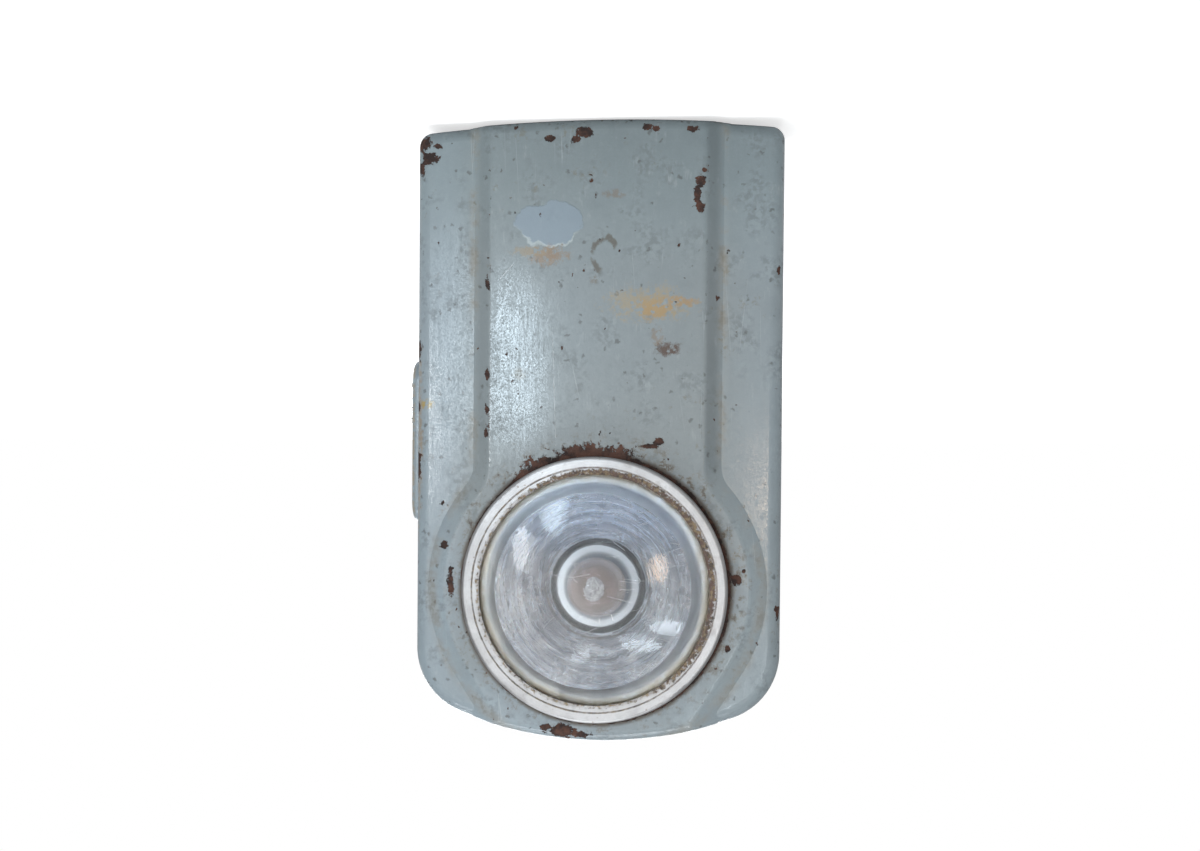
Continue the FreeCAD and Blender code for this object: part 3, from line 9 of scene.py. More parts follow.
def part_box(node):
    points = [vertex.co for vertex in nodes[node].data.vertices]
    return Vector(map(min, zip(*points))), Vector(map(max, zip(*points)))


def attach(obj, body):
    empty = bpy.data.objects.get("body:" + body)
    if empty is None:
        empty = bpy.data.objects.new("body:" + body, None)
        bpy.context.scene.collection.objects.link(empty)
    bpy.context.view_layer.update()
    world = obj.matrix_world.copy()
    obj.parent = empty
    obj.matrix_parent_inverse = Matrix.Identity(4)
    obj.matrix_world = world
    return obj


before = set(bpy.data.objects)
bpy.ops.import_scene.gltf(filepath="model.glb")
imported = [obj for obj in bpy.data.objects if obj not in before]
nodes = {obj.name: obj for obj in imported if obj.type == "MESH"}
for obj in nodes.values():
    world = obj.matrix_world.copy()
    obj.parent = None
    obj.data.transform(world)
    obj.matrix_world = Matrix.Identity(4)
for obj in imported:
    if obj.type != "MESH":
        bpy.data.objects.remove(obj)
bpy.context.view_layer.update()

MM = 0.001
PER_METRE = 1000  # mm in a metre

# Places on the lamp in mm: across from the middle of the case, up from its base.
MIDDLE_X = -1.3  # the middle of the case, as the frame counts
MIDDLE_Y = 0.725
LENS_HEIGHT = 85.3
PANEL_SHOULDER = 19.9  # top edge of the raised panel's sloping side
PANEL_FLANK = 20.8  # middle of that slope
PANEL_FOOT = 22.7  # where the slope meets the face beside it

# Radii about the lens axis in mm, from outside in.
FLARE_FOOT = 30.3  # the panel's slope again, where it runs round the ring
FLARE_FLANK = 28.8
RING_RADIUS = 24.05  # outside of the lens ring
RING_GROOVE = 22.1
RING_LIP = 21.4  # where the ring turns down to the lens
LENS_WALL = 18.9  # where the clear window turns into the lens's side wall
BOWL_STEP = 13.6
BOWL_CREASE = 9.8
BOWL_FOOT = 9.15  # bottom of the bowl, round the socket
SOCKET_EDGE = 7.55
SOCKET_CREST = 7.0


# ------------------------------------------------------------------ shader maths


class Field:
    """A value that varies over a surface; arithmetic on it adds Math nodes."""

    def __init__(self, net, socket):
        self.net = net
        self.socket = socket

    def maths(self, operation, *values):
        return self.net.add("ShaderNodeMath", {"operation": operation}, dict(enumerate(values)))

    def __add__(self, other):
        return self.maths("ADD", self, other)

    def __radd__(self, other):
        return self.maths("ADD", other, self)

    def __sub__(self, other):
        return self.maths("SUBTRACT", self, other)

    def __rsub__(self, other):
        return self.maths("SUBTRACT", other, self)

    def __mul__(self, other):
        return self.maths("MULTIPLY", self, other)

    def __rmul__(self, other):
        return self.maths("MULTIPLY", other, self)

    def __truediv__(self, other):
        return self.maths("DIVIDE", self, other)

    def __abs__(self):
        return self.maths("ABSOLUTE", self)

    def root(self):
        return self.maths("SQRT", self)

    def fraction(self):
        return self.maths("FRACT", self)

    def angle(self, other):
        return self.maths("ARCTAN2", self, other)

    def least(self, other):
        return self.maths("MINIMUM", self, other)

    def most(self, other):
        return self.maths("MAXIMUM", self, other)

    def ramp(self, low, high, start=0.0, end=1.0):
        """start below low, end above high, and a smooth way between."""
        if low > high:
            low, high, start, end = high, low, end, start
        inputs = {"Value": self, "From Min": low, "From Max": high, "To Min": start, "To Max": end}
        return self.net.add("ShaderNodeMapRange", {"interpolation_type": "SMOOTHSTEP"}, inputs)

    def near(self, middle, full, none):
        """1 up to full away from middle, 0 from none away."""
        return abs(self - middle).ramp(none, full)


class Net:
    """A tree of shader nodes, and the one way in which nodes come into it."""

    def __init__(self, tree):
        self.tree = tree

    def add(self, kind, settings, inputs, output=0):
        """A node: its settings first, then its sockets. Gives an output, or for None the node."""
        node = self.tree.nodes.new(kind)
        for label, value in settings.items():
            setattr(node, label, value)
        for key, value in inputs.items():
            self.plug(node.inputs[key], value)
        return node if output is None else Field(self, node.outputs[output])

    def plug(self, socket, value):
        """Link a Field to a socket, or set it to a number, a place or an opaque colour."""
        if isinstance(value, Field):
            self.tree.links.new(value.socket, socket)
        elif isinstance(value, tuple) and len(value) == 3 and len(socket.default_value) == 4:
            socket.default_value = (*value, 1)
        else:
            socket.default_value = value


class Finish(Net):
    """One material: a Principled shader and the nodes that vary it."""

    def __init__(self, name, **sockets):
        self.material = bpy.data.materials.new(name)
        self.material.use_nodes = True
        super().__init__(self.material.node_tree)
        self.shader = self.tree.nodes["Principled BSDF"]
        for label, value in sockets.items():
            self.set(label.replace("_", " "), value)
        self.where = self.add("ShaderNodeTexCoord", {}, {}, "Object")
        in_mm = {0: self.where, "Scale": PER_METRE}
        along = self.add("ShaderNodeVectorMath", {"operation": "SCALE"}, in_mm)
        split = self.add("ShaderNodeSeparateXYZ", {}, {0: along}, None)
        self.x = Field(self, split.outputs[0]) - MIDDLE_X
        self.y = Field(self, split.outputs[1]) - MIDDLE_Y
        self.z = Field(self, split.outputs[2])

    def set(self, label, value):
        """Give one socket of the shader a value or a link."""
        self.plug(self.shader.inputs[label], value)

    def drawn_out(self, vector, stretch, shift=(0, 0, 0)):
        """The place for a pattern that is stretched along the axes and moved."""
        inputs = {"Vector": vector, "Scale": tuple(1 / s for s in stretch), "Location": shift}
        return self.add("ShaderNodeMapping", {}, inputs)

    def noise(self, size, detail=2.0, roughness=0.5, stretch=(1, 1, 1), shift=(0, 0, 0), warp=0.0):
        """Cloudy values about 0.5 whose lumps are about size mm wide."""
        place = self.drawn_out(self.where, stretch, shift)
        inputs = {"Vector": place, "Scale": PER_METRE / size, "Detail": detail, "Roughness": roughness}
        inputs["Distortion"] = warp
        return self.add("ShaderNodeTexNoise", {}, inputs)

    def rings(self, radius, turns):
        """Uneven rings about the lens axis, about this many to a mm."""
        inputs = {"W": radius, "Scale": turns, "Detail": 3.0}
        return self.add("ShaderNodeTexNoise", {"noise_dimensions": "1D"}, inputs)

    def ruffled(self, size, reach):
        """The place on the piece, pushed about by up to reach mm in lumps of size mm."""
        lumps = self.add("ShaderNodeTexNoise", {}, {"Vector": self.where, "Scale": PER_METRE / size}, 1)
        inputs = {0: lumps, 1: (0.5, 0.5, 0.5)}
        middle = self.add("ShaderNodeVectorMath", {"operation": "SUBTRACT"}, inputs)
        inputs = {0: middle, "Scale": reach * 2 * MM}
        push = self.add("ShaderNodeVectorMath", {"operation": "SCALE"}, inputs)
        return self.add("ShaderNodeVectorMath", {"operation": "ADD"}, {0: self.where, 1: push})

    def cells(self, size, place, output="Distance"):
        """Cells about size mm wide: the distance to their points, or a colour of their own."""
        return self.add("ShaderNodeTexVoronoi", {}, {"Vector": place, "Scale": PER_METRE / size}, output)

    def dots(self, size, place, none, full, shuffle, level):
        """A dot in each cell whose own tone, shuffled, comes out above level."""
        tone = self.cells(size, place, "Color") * shuffle
        chosen = tone.fraction().ramp(level, level + 0.02)
        return self.cells(size, place).ramp(none, full) * chosen

    def hairs(self, size, stretch, none, full):
        """Fine scratches along the borders of stretched cells."""
        inputs = {"Vector": self.drawn_out(self.where, stretch), "Scale": PER_METRE / size}
        return self.add("ShaderNodeTexVoronoi", {"feature": "DISTANCE_TO_EDGE"}, inputs).ramp(none, full)

    def blend(self, amount, under, over):
        """Colour under where amount is 0, over where it is 1."""
        inputs = {0: amount, 6: under, 7: over}
        return self.add("ShaderNodeMix", {"data_type": "RGBA"}, inputs, 2)

    def tint(self, colour, amount):
        """The colour made lighter or darker by a factor that varies."""
        return self.add("ShaderNodeVectorMath", {"operation": "SCALE"}, {0: colour, "Scale": amount})

    def bump(self, height, strength):
        """Bumps of height in mm."""
        return self.add("ShaderNodeBump", {}, {"Height": height, "Distance": MM, "Strength": strength})

    def from_lens_axis(self):
        """Distance from the lens axis, mm."""
        rise = self.z - LENS_HEIGHT
        return (self.x * self.x + rise * rise).root()

    def oval(self, x, z, half_x, half_z):
        """1 on the outline of an oval on the front, less inside and more outside."""
        across = (self.x - x) / half_x
        along = (self.z - z) / half_z
        return (across * across + along * along).root()

    def spot(self, place, edge, ragged, soft):
        """1 inside an uneven oval on the front, 0 outside."""
        reach = self.oval(*place) + (edge - 0.5) * (2 * ragged)
        return reach.ramp(1 + soft, 1 - soft)

    def dress(self, *names):
        """Put the material on CAD nodes."""
        for name in names:
            mesh = nodes[name].data
            mesh.materials.clear()
            mesh.materials.append(self.material)


# ------------------------------------------------------------------ enamel

PAINT = (0.234, 0.278, 0.297)
PAINT_DARK = (0.130, 0.148, 0.154)
PAINT_WARM = (0.246, 0.276, 0.280)
# Paler, bluer paint used as painted light on the lit side.
PAINT_LIT = (0.268, 0.330, 0.372)
PAINT_GREEN = (0.222, 0.286, 0.308)
PAINT_WORN = (0.38, 0.43, 0.455)
SCRATCHED_PAINT = (0.50, 0.55, 0.58)
FILM_BLUE = (0.245, 0.325, 0.405)
FILM_EDGE = (0.50, 0.58, 0.60)
RUST_DARK = (0.028, 0.017, 0.015)
RUST = (0.095, 0.044, 0.030)
RUST_SCALE = (0.19, 0.10, 0.075)
RUST_PALE = (0.30, 0.165, 0.080)
GRIME_AND_SHADOW = (0.070, 0.050, 0.032)
DUST = (0.26, 0.20, 0.12)
SOIL = (0.17, 0.155, 0.115)
SOOT = (0.10, 0.112, 0.115)
BLISTER_RIM = (0.095, 0.085, 0.065)
HANDLED_RIM = (0.30, 0.25, 0.18)

# Ovals on the front: x, z, half width, half height (mm).
BLISTER = (-1.4, 24.7, 2.2, 3.1)
FILM = (8.9, 18.6, 5.8, 3.7)
FILM_BORDER = (8.8, 18.85, 5.9, 3.85)

# Chips down to rusty steel on the front: x, z, half width, half height (mm).
CHIPS = [
    (32.4, 3.6, 1.3, 1.6),
    (31.3, 6.4, 1.7, 1.2),
    (32.9, 8.2, 0.7, 1.3),
    (29.6, 4.2, 0.9, 0.5),
    (8.8, 3.6, 0.9, 0.6),
    (3.9, 3.9, 1.1, 0.7),
    (2.3, 2.6, 1.4, 1.0),
    (-8.8, 1.7, 0.9, 0.6),
    (-10.6, 2.2, 0.8, 0.5),
    (-17.1, 2.4, 0.9, 0.6),
    (-18.6, 11.6, 0.9, 1.1),
    (-17.9, 13.9, 0.6, 1.6),
    (-18.5, 16.2, 0.9, 0.9),
    (-19.2, 9.8, 0.5, 0.5),
    (5.8, 111.4, 2.4, 1.2),
    (2.6, 111.9, 2.0, 0.6),
    (8.6, 110.7, 1.3, 0.5),
    (26.6, 84.4, 0.6, 2.4),
    (28.0, 77.7, 0.8, 0.7),
    (-24.0, 95.7, 0.5, 0.7),
    (-25.6, 83.2, 0.9, 1.0),
    (-26.9, 81.7, 0.4, 0.4),
    (20.1, 29.9, 0.5, 0.9),
    (20.1, 46.4, 0.4, 0.9),
    (20.1, 52.7, 0.4, 0.9),
    (20.2, 56.9, 0.4, 0.8),
    (33.2, 63.0, 0.6, 2.6),
    (33.2, 41.8, 0.4, 1.7),
    (33.3, 52.3, 0.4, 0.9),
    (-11.4, 58.5, 0.9, 0.7),
    (-9.6, 59.3, 2.0, 0.4),
    (-32.9, 88.9, 0.4, 1.2),
    (-32.6, 27.5, 0.3, 0.8),
    (12.9, 65.2, 1.6, 0.5),
]
# The same on the back cover.
BACK_CHIPS = [
    (-27.5, 8.5, 2.2, 1.1),
    (24.0, 6.0, 1.1, 0.8),
    (29.8, 31.0, 0.7, 1.6),
    (-21.0, 46.0, 0.8, 0.6),
    (15.5, 71.0, 0.6, 1.1),
    (-30.0, 88.0, 0.8, 1.8),
    (9.5, 37.5, 1.5, 0.8),
    (-9.0, 36.0, 1.0, 0.7),
    (18.0, 104.5, 1.7, 0.9),
    (-6.0, 19.0, 0.7, 0.7),
    (7.8, 97.0, 0.6, 1.3),
]
# Stains that lie on the paint: x, z, half width, half height, colour, strength.
STAINS = [
    (-9.0, 33.6, 6.2, 2.6, (0.36, 0.29, 0.17), 0.60),
    (-10.2, 34.4, 2.6, 1.8, (0.40, 0.25, 0.085), 0.60),
    (-14.8, 33.2, 2.4, 0.9, (0.38, 0.23, 0.08), 0.70),
    (-12.9, 41.9, 1.9, 1.1, (0.075, 0.042, 0.028), 0.95),
    (-10.9, 39.2, 1.0, 1.5, (0.22, 0.15, 0.09), 0.5),
    (8.6, 24.6, 3.0, 1.5, (0.26, 0.165, 0.085), 0.75),
    (12.3, 24.0, 2.9, 0.8, (0.30, 0.24, 0.15), 0.6),
    (31.6, 51.6, 1.2, 0.8, (0.36, 0.27, 0.08), 0.9),
    (13.9, 46.2, 1.1, 0.9, (0.17, 0.16, 0.12), 0.6),
    (33.2, 58.0, 0.7, 14.0, (0.30, 0.235, 0.16), 0.7),
    (-3.0, 13.8, 1.6, 0.7, (0.20, 0.13, 0.08), 0.45),
    (0.5, 29.2, 0.8, 0.7, (0.16, 0.12, 0.08), 0.5),
]


class Enamel(Finish):
    """Blue-grey stoving enamel: chipped to rust, scratched, stained and grimy, with painted light and
    shade.
    """

    def __init__(self):
        super().__init__("blue_grey_enamel", Specular_IOR_Level=0.35, Coat_Roughness=0.16)
        # Patterns and places that several of the marks share.
        self.radius = self.from_lens_axis()
        self.cloud = self.noise(28, 3)
        self.blotch = self.noise(6.5, 4, 0.6)
        self.lumps = self.noise(3.4, 4, 0.6, shift=(2, 5, 3))
        self.fine = self.noise(1.1, 3, 0.6)
        self.ragged = self.noise(1.2, 5, 0.72, shift=(3, 7, 1))
        self.grain = self.noise(0.35, 2, 0.6)
        self.torn = self.ruffled(0.9, 0.7)
        self.is_front = self.y.ramp(-8.5, -10.5)
        self.is_back = self.y.ramp(10.8, 11.6)
        self.panel_foot = abs(self.x).near(PANEL_FOOT, 0.1, 1.5) * self.z.ramp(66, 58) * self.is_front
        self.smudge = self.blotch.ramp(0.48, 0.66) * self.fine.ramp(0.4, 0.62)
        # The marks, and then the colour from the sound paint up.
        self.film = self.spot(FILM, self.blotch, 0.75, 0.04) * self.is_front
        self.grime, self.dirt_and_shade = self.dirt_and_shadow_in_hollows()
        self.scratch = self.scratches()
        self.band = self.rust_above_ring()
        self.rust = self.all_rust()
        colour = self.painted_panel_shade_and_light(self.sound_paint())
        colour = self.blend(self.grime, colour, DUST)
        # Black grime, and painted shadow in the gap round the ring.
        colour = self.blend(self.dirt_and_shade, colour, GRIME_AND_SHADOW)
        colour = self.filmed(self.stained(colour))
        colour = self.blend(self.scratch * 0.5, colour, SCRATCHED_PAINT)
        colour = self.rubbed(colour)
        self.set("Base Color", self.blend(self.rust, colour, self.rust_colour()))
        self.set_surface()

    def sound_paint(self):
        """Colour of the whole paint: slow drift, painted light and shade, cloudy wear, soil in the pores
        and fine soot.
        """
        x, z = self.x, self.z
        colour = self.blend(self.cloud.ramp(0.3, 0.75) * 0.5, PAINT, PAINT_WARM)
        # Painted light: the outer strips and the lens end paler and bluer, most on the lit +X side.
        painted_outer_light = abs(x).ramp(21, 29).most(z.ramp(94, 108)) * (0.45 + x.ramp(-8, 8) * 0.55)
        colour = self.blend(painted_outer_light * 0.85, colour, PAINT_LIT)
        colour = self.blend(z.ramp(34, 8) * 0.6, colour, PAINT_GREEN)
        # Painted shade: darker towards the base, more on the -X side, less on the +X strip.
        painted_base_shade = z.ramp(22, 4) * (0.09 + x.ramp(20, -5) * 0.04 - x.ramp(15, 23) * 0.07)
        colour = self.tint(colour, 0.73 + self.blotch * 0.34 + self.grain * 0.22 - painted_base_shade)
        colour = self.blend(self.smudge * 0.50, colour, PAINT_DARK)
        soiled = self.noise(2.6, 5, 0.7, shift=(8, 1, 4)).ramp(0.60, 0.70) * self.cloud.ramp(0.42, 0.6)
        colour = self.blend(soiled * 0.50, colour, SOIL)
        thinned = self.lumps.ramp(0.52, 0.68) * self.noise(0.8, 3, 0.7, (1, 1, 5)).ramp(0.5, 0.66)
        colour = self.blend(thinned * 0.28, colour, PAINT_WORN)
        soot = self.dots(2.1, self.torn, 0.24, 0.08, 7.3, 0.54)
        return self.blend(soot * 0.75, colour, SOOT)

    def painted_panel_shade_and_light(self, colour):
        """Painted shade makes the sloping flanks of the panel darker than the faces beside them, most on
        the -X side; painted light lifts the slope round the ring and the panel's foot.
        """
        flank = abs(self.x).near(PANEL_FLANK, 0.2, 2.3) * self.z.ramp(68, 61) * self.is_front
        flare = self.radius.near(FLARE_FLANK, 0.8, 2.2) * self.z.ramp(62, 69) * self.is_front
        darker = flank * (0.11 + self.x.ramp(5, -5) * 0.13)
        return self.tint(colour, 1.0 + flare * 0.07 + self.panel_foot * 0.06 - darker)

    def dirt_and_shadow_in_hollows(self):
        """Dusty grime round the ring and along the feet of the panel, and black grime mixed with painted
        shadow in the gap at the ring.
        """
        near_ring = self.radius.ramp(RING_RADIUS + 6.0, RING_RADIUS + 0.2) * self.is_front
        heavy = 0.45 + (self.z - LENS_HEIGHT + self.x * 0.5).ramp(12, -26) * 0.55
        ring_grime = near_ring * heavy * (self.ragged + self.lumps * 0.6).ramp(0.78, 0.98)
        foot_grime = self.panel_foot * (self.blotch + self.ragged * 0.4).ramp(0.62, 0.86) * 0.4
        flare_foot = self.radius.near(FLARE_FOOT, 0.2, 1.8) * self.z.ramp(64, 70) * self.is_front
        flare_grime = flare_foot * 0.3 * (self.blotch + self.fine * 0.4).ramp(0.55, 0.8)
        grime = (ring_grime * 0.6).most(foot_grime).most(flare_grime)
        # Painted shadow in the gap round the ring, mixed with black grime.
        gap_shadow_and_dirt = self.radius.ramp(RING_RADIUS + 1.5, RING_RADIUS + 0.7) * self.is_front
        gap_shadow_and_dirt = gap_shadow_and_dirt * (self.ragged + heavy * 0.15).ramp(0.40, 0.54)
        dirt_and_shade = (gap_shadow_and_dirt * 0.85).most(ring_grime * self.ragged.ramp(0.5, 0.62) * 0.8)
        return grime, dirt_and_shade

    def stained(self, colour):
        """Rusty and oily stains, and the broken rim of an old blister."""
        speckle = self.fine.ramp(0.36, 0.52) * self.is_front
        for *place, stain, strength in STAINS:
            amount = self.spot(place, self.ragged, 1.6, 0.5) * speckle
            colour = self.blend(amount * strength, colour, stain)
        rim = (self.oval(*BLISTER) + (self.ragged - 0.5) * 0.5).near(1, 0.10, 0.28)
        unbroken = (self.z - self.x * 1.6).ramp(29.5, 27.9) * self.lumps.ramp(0.40, 0.52)
        return self.blend(rim * unbroken * self.is_front * 0.8, colour, BLISTER_RIM)

    def filmed(self, colour):
        """A torn patch of thin blue film with a pale lower edge."""
        colour = self.blend(self.film * 0.6, colour, FILM_BLUE)
        border = self.spot(FILM_BORDER, self.blotch, 0.75, 0.05) * self.is_front
        edge = (border * self.z.ramp(20.0, 21.5) - self.film).most(0.0) * self.ragged.ramp(0.3, 0.5)
        return self.blend(edge * 0.6, colour, FILM_EDGE)

    def scratches(self):
        """Fine scratches all over, one long streak down the panel and one nick across it."""
        x, z = self.x, self.z
        hairs = self.hairs(9, (0.5, 1, 6), 0.010, 0.003) * self.noise(14, 2).ramp(0.54, 0.68)
        streak = (x + (z - 51) * 0.035).near(7.6, 0.04, 0.14) * z.near(51, 11, 14)
        streak = streak * self.ragged.ramp(0.42, 0.5) * self.is_front
        nick = (x - (z - 27.6) * 0.9).near(16.6, 0.07, 0.20) * z.near(27.6, 1.2, 1.5) * self.is_front
        return (hairs * 0.6).most(streak).most(nick)

    def rubbed(self, colour):
        """Long strokes where the clip's tongue rubs the cover, and the handled switch plate."""
        under_clip = abs(self.x).ramp(7.2, 5.2) * self.z.near(50, 8, 17) * self.is_back
        strokes = self.noise(0.45, 3, 0.7, (1, 1, 22), (2, 6, 1)).ramp(0.52, 0.60)
        colour = self.blend(strokes * under_clip * 0.6, colour, PAINT_WORN)
        plate_rim = self.x.ramp(34.6, 35.2) * abs(self.y).ramp(4.0, 5.2)
        handled = plate_rim * (self.ragged + self.fine * 0.3).ramp(0.58, 0.68)
        return self.blend(handled * 0.8, colour, HANDLED_RIM)

    def chipped(self, chips):
        """All the chips of a list."""
        mask = self.spot(chips[0], self.ragged, 1.8, 0.06)
        for chip in chips[1:]:
            mask = mask.most(self.spot(chip, self.ragged, 1.8, 0.06))
        return mask

    def rust_above_ring(self):
        """A broken band of rust on the panel, on the side of the ring that faces the base."""
        reach = (RING_RADIUS + 3.9 - self.radius) * 0.26
        over_ring = reach.least(1.0) * self.z.ramp(68, 62.5) * self.x.near(3.6, 8, 15)
        broken = over_ring + (self.lumps - 0.5) * 1.5 + (self.ragged - 0.5) * 1.9
        return broken.ramp(0.42, 0.56) * self.is_front * reach.ramp(0.0, 0.1)

    def all_rust(self):
        """Chips, the band above the ring and the gap round it, specks, flakes and worn rims."""
        x, y, z, ragged = self.x, self.y, self.z, self.ragged
        chips = (self.chipped(CHIPS) * self.is_front).most(self.chipped(BACK_CHIPS) * self.is_back)
        gap = (self.radius + (ragged - 0.5) * 1.6).ramp(RING_RADIUS + 0.70, RING_RADIUS + 0.45)
        patchy = self.noise(9, 2, shift=(5, 1, 2)).ramp(0.46, 0.60)
        pepper = self.dots(1.7, self.torn, 0.17, 0.09, 11.7, 0.84) * patchy
        flakes = self.dots(5.0, self.torn, 0.10, 0.07, 5.3, 0.80)
        shoulder = abs(x).near(PANEL_SHOULDER, 0.2, 0.55) * z.ramp(64, 60) * self.is_front
        worn_line = shoulder * (ragged + self.noise(5, 2) * 0.5).ramp(0.90, 0.94)
        lens_end = (z + x * x / 148).ramp(110.0, 112.2)
        outline = abs(x).ramp(31.4, 33.2).most(z.ramp(3.0, 1.0)).most(lens_end)
        rear_rim = y.ramp(10.6, 11.6) * outline * (ragged + self.lumps * 0.4).ramp(0.72, 0.78)
        base_rim = z.ramp(1.4, 0.3) * ragged.ramp(0.56, 0.61)
        side_edge = abs(x).ramp(32.8, 33.4) * y.ramp(-7.5, -9.5) * ragged.ramp(0.62, 0.66)
        rust = chips.most(self.band).most(gap * self.is_front).most(pepper).most(flakes)
        return rust.most(worn_line).most(rear_rim).most(base_rim).most(side_edge)

    def rust_colour(self):
        """Dark rust, redder in lumps, with pale grains; scaly in the band above the ring."""
        colour = self.blend((self.fine * 0.5 + self.lumps * 0.5).ramp(0.42, 0.62), RUST_DARK, RUST)
        colour = self.blend(self.grain.ramp(0.62, 0.85) * 0.35, colour, RUST_PALE)
        return self.blend(self.band * self.lumps.ramp(0.35, 0.6) * 0.45, colour, RUST_SCALE)

    def set_surface(self):
        """Gloss of the stoved coat, dulled by wear, rust and dirt, over a slight orange peel."""
        rough = 0.44 + (self.blotch - 0.5) * 0.3 + (self.fine - 0.5) * 0.1 + self.grime * 0.3
        self.set("Roughness", (rough + self.rust * 0.4).least(0.95))
        streaky = self.noise(0.5, 3, 0.7, (1, 1, 14), (1, 3, 5)).ramp(0.40, 0.72)
        shine = 1.05 - self.smudge * 0.5 - streaky * 0.7 - self.rust * 1.2
        shine = shine - (self.grime + self.dirt_and_shade) * 0.6
        shine = shine * self.fine.ramp(0.22, 0.5) * self.grain.ramp(0.32, 0.62)
        self.set("Coat Weight", shine.most(0.0).least(1.0))
        orange_peel = self.noise(2.4, 2, 0.5) * 0.9 + self.fine * 0.3
        height = orange_peel * 0.030 - self.rust * 0.10 + self.rust * self.grain * 0.10
        height = height - self.scratch * 0.03 + self.film * 0.04 + self.dirt_and_shade * self.grain * 0.08
        self.set("Normal", self.bump(height, 0.9))


Enamel().dress("front_shell", "back_cover", "switch_housing")


# ------------------------------------------------------------------ ring, lens, bowl and bulb

ALUMINIUM = (0.455, 0.45, 0.45)
ALUMINIUM_GREY = (0.33, 0.325, 0.325)
ALUMINIUM_DULL = (0.22, 0.205, 0.19)
PIT = (0.16, 0.11, 0.07)
OLD_GREASE = (0.045, 0.030, 0.020)
GREASY_DUST = (0.24, 0.17, 0.085)
RUSTY_GREASE = (0.10, 0.050, 0.035)

LENS_CLEAR = (0.95, 0.96, 0.965)
LENS_DUST = (0.75, 0.74, 0.70)
LENS_WALL_SHADE = (0.69, 0.69, 0.69)
LENS_YELLOW = (0.52, 0.46, 0.37)
LENS_RIM = (0.34, 0.27, 0.18)

SILVER_CLOUDED = (0.55, 0.60, 0.66)
SILVER = (0.87, 0.92, 0.97)
SILVER_SKY_REFLECTION = (0.60, 0.73, 0.92)
TARNISH_AND_CREASE_SHADE = (0.20, 0.18, 0.16)
BOWL_GAP_SHADOW = (0.045, 0.044, 0.044)


def spun_aluminium():
    """Spun aluminium gone dull: turning marks, brushing, pits, and grime and painted shadow in its
    corners.
    """
    ring = Finish("spun_aluminium")
    radius = ring.from_lens_axis()
    turning = ring.rings(radius, 8.0)
    cloud = ring.noise(7, 3, 0.6)
    fine = ring.noise(0.7, 3, 0.6)
    ragged = ring.noise(1.1, 5, 0.72)
    brushed = ring.noise(0.28, 3, 0.7)
    colour = ring.blend(cloud.ramp(0.3, 0.7), ALUMINIUM_GREY, ALUMINIUM)
    colour = ring.tint(colour, 0.74 + turning * 0.22 + fine * 0.14 + brushed * 0.18)
    pits = ring.cells(1.1, ring.ruffled(0.9, 0.4)).ramp(0.18, 0.08) * ring.noise(4, 2).ramp(0.5, 0.6)
    colour = ring.blend(pits * 0.6, colour, PIT)
    dull = ring.noise(2.2, 4, 0.65, shift=(5, 5, 1)).ramp(0.55, 0.7)
    colour = ring.blend(dull * 0.35, colour, ALUMINIUM_DULL)
    # Grime inside the lip, thickest towards the base and the plain side, a darker uneven line along the
    # groove, and grease with painted shadow on the ring's side down to the panel.
    heavy = ((ring.z - LENS_HEIGHT) * 0.6 + ring.x).ramp(8, -16)
    lip = (radius + (ragged - 0.5) * 3.0 - heavy * 0.60).ramp(RING_LIP, RING_LIP - 0.3)
    crumbs = (ring.noise(0.75, 4, 0.65) + heavy * 0.14).ramp(0.50, 0.56)
    groove = radius.near(RING_GROOVE, 0.06, 0.22) * (0.25 + ragged.ramp(0.4, 0.6) * 0.5)
    rear = ring.y.ramp(-16.0, -14.8) * (0.35 + ragged.ramp(0.38, 0.55) * 0.6)
    dirt_and_shade = (lip * (0.22 + crumbs * 0.78)).most(rear).most(groove).least(1.0)
    dirt_and_shadow_colour = ring.blend(fine.ramp(0.38, 0.6), OLD_GREASE, GREASY_DUST)
    dirt_and_shadow_colour = ring.blend(heavy * ragged.ramp(0.45, 0.55), dirt_and_shadow_colour, RUSTY_GREASE)
    ring.set("Base Color", ring.blend(dirt_and_shade * 0.9, colour, dirt_and_shadow_colour))
    ring.set("Metallic", 1.0 - dirt_and_shade * 0.95)
    ring.set("Roughness", (0.40 + cloud * 0.16 + dirt_and_shade * 0.35).least(0.9))
    height = turning * 0.012 + fine * 0.012 + brushed * 0.008 - pits * 0.03 + dirt_and_shade * fine * 0.06
    ring.set("Normal", ring.bump(height, 0.8))
    return ring


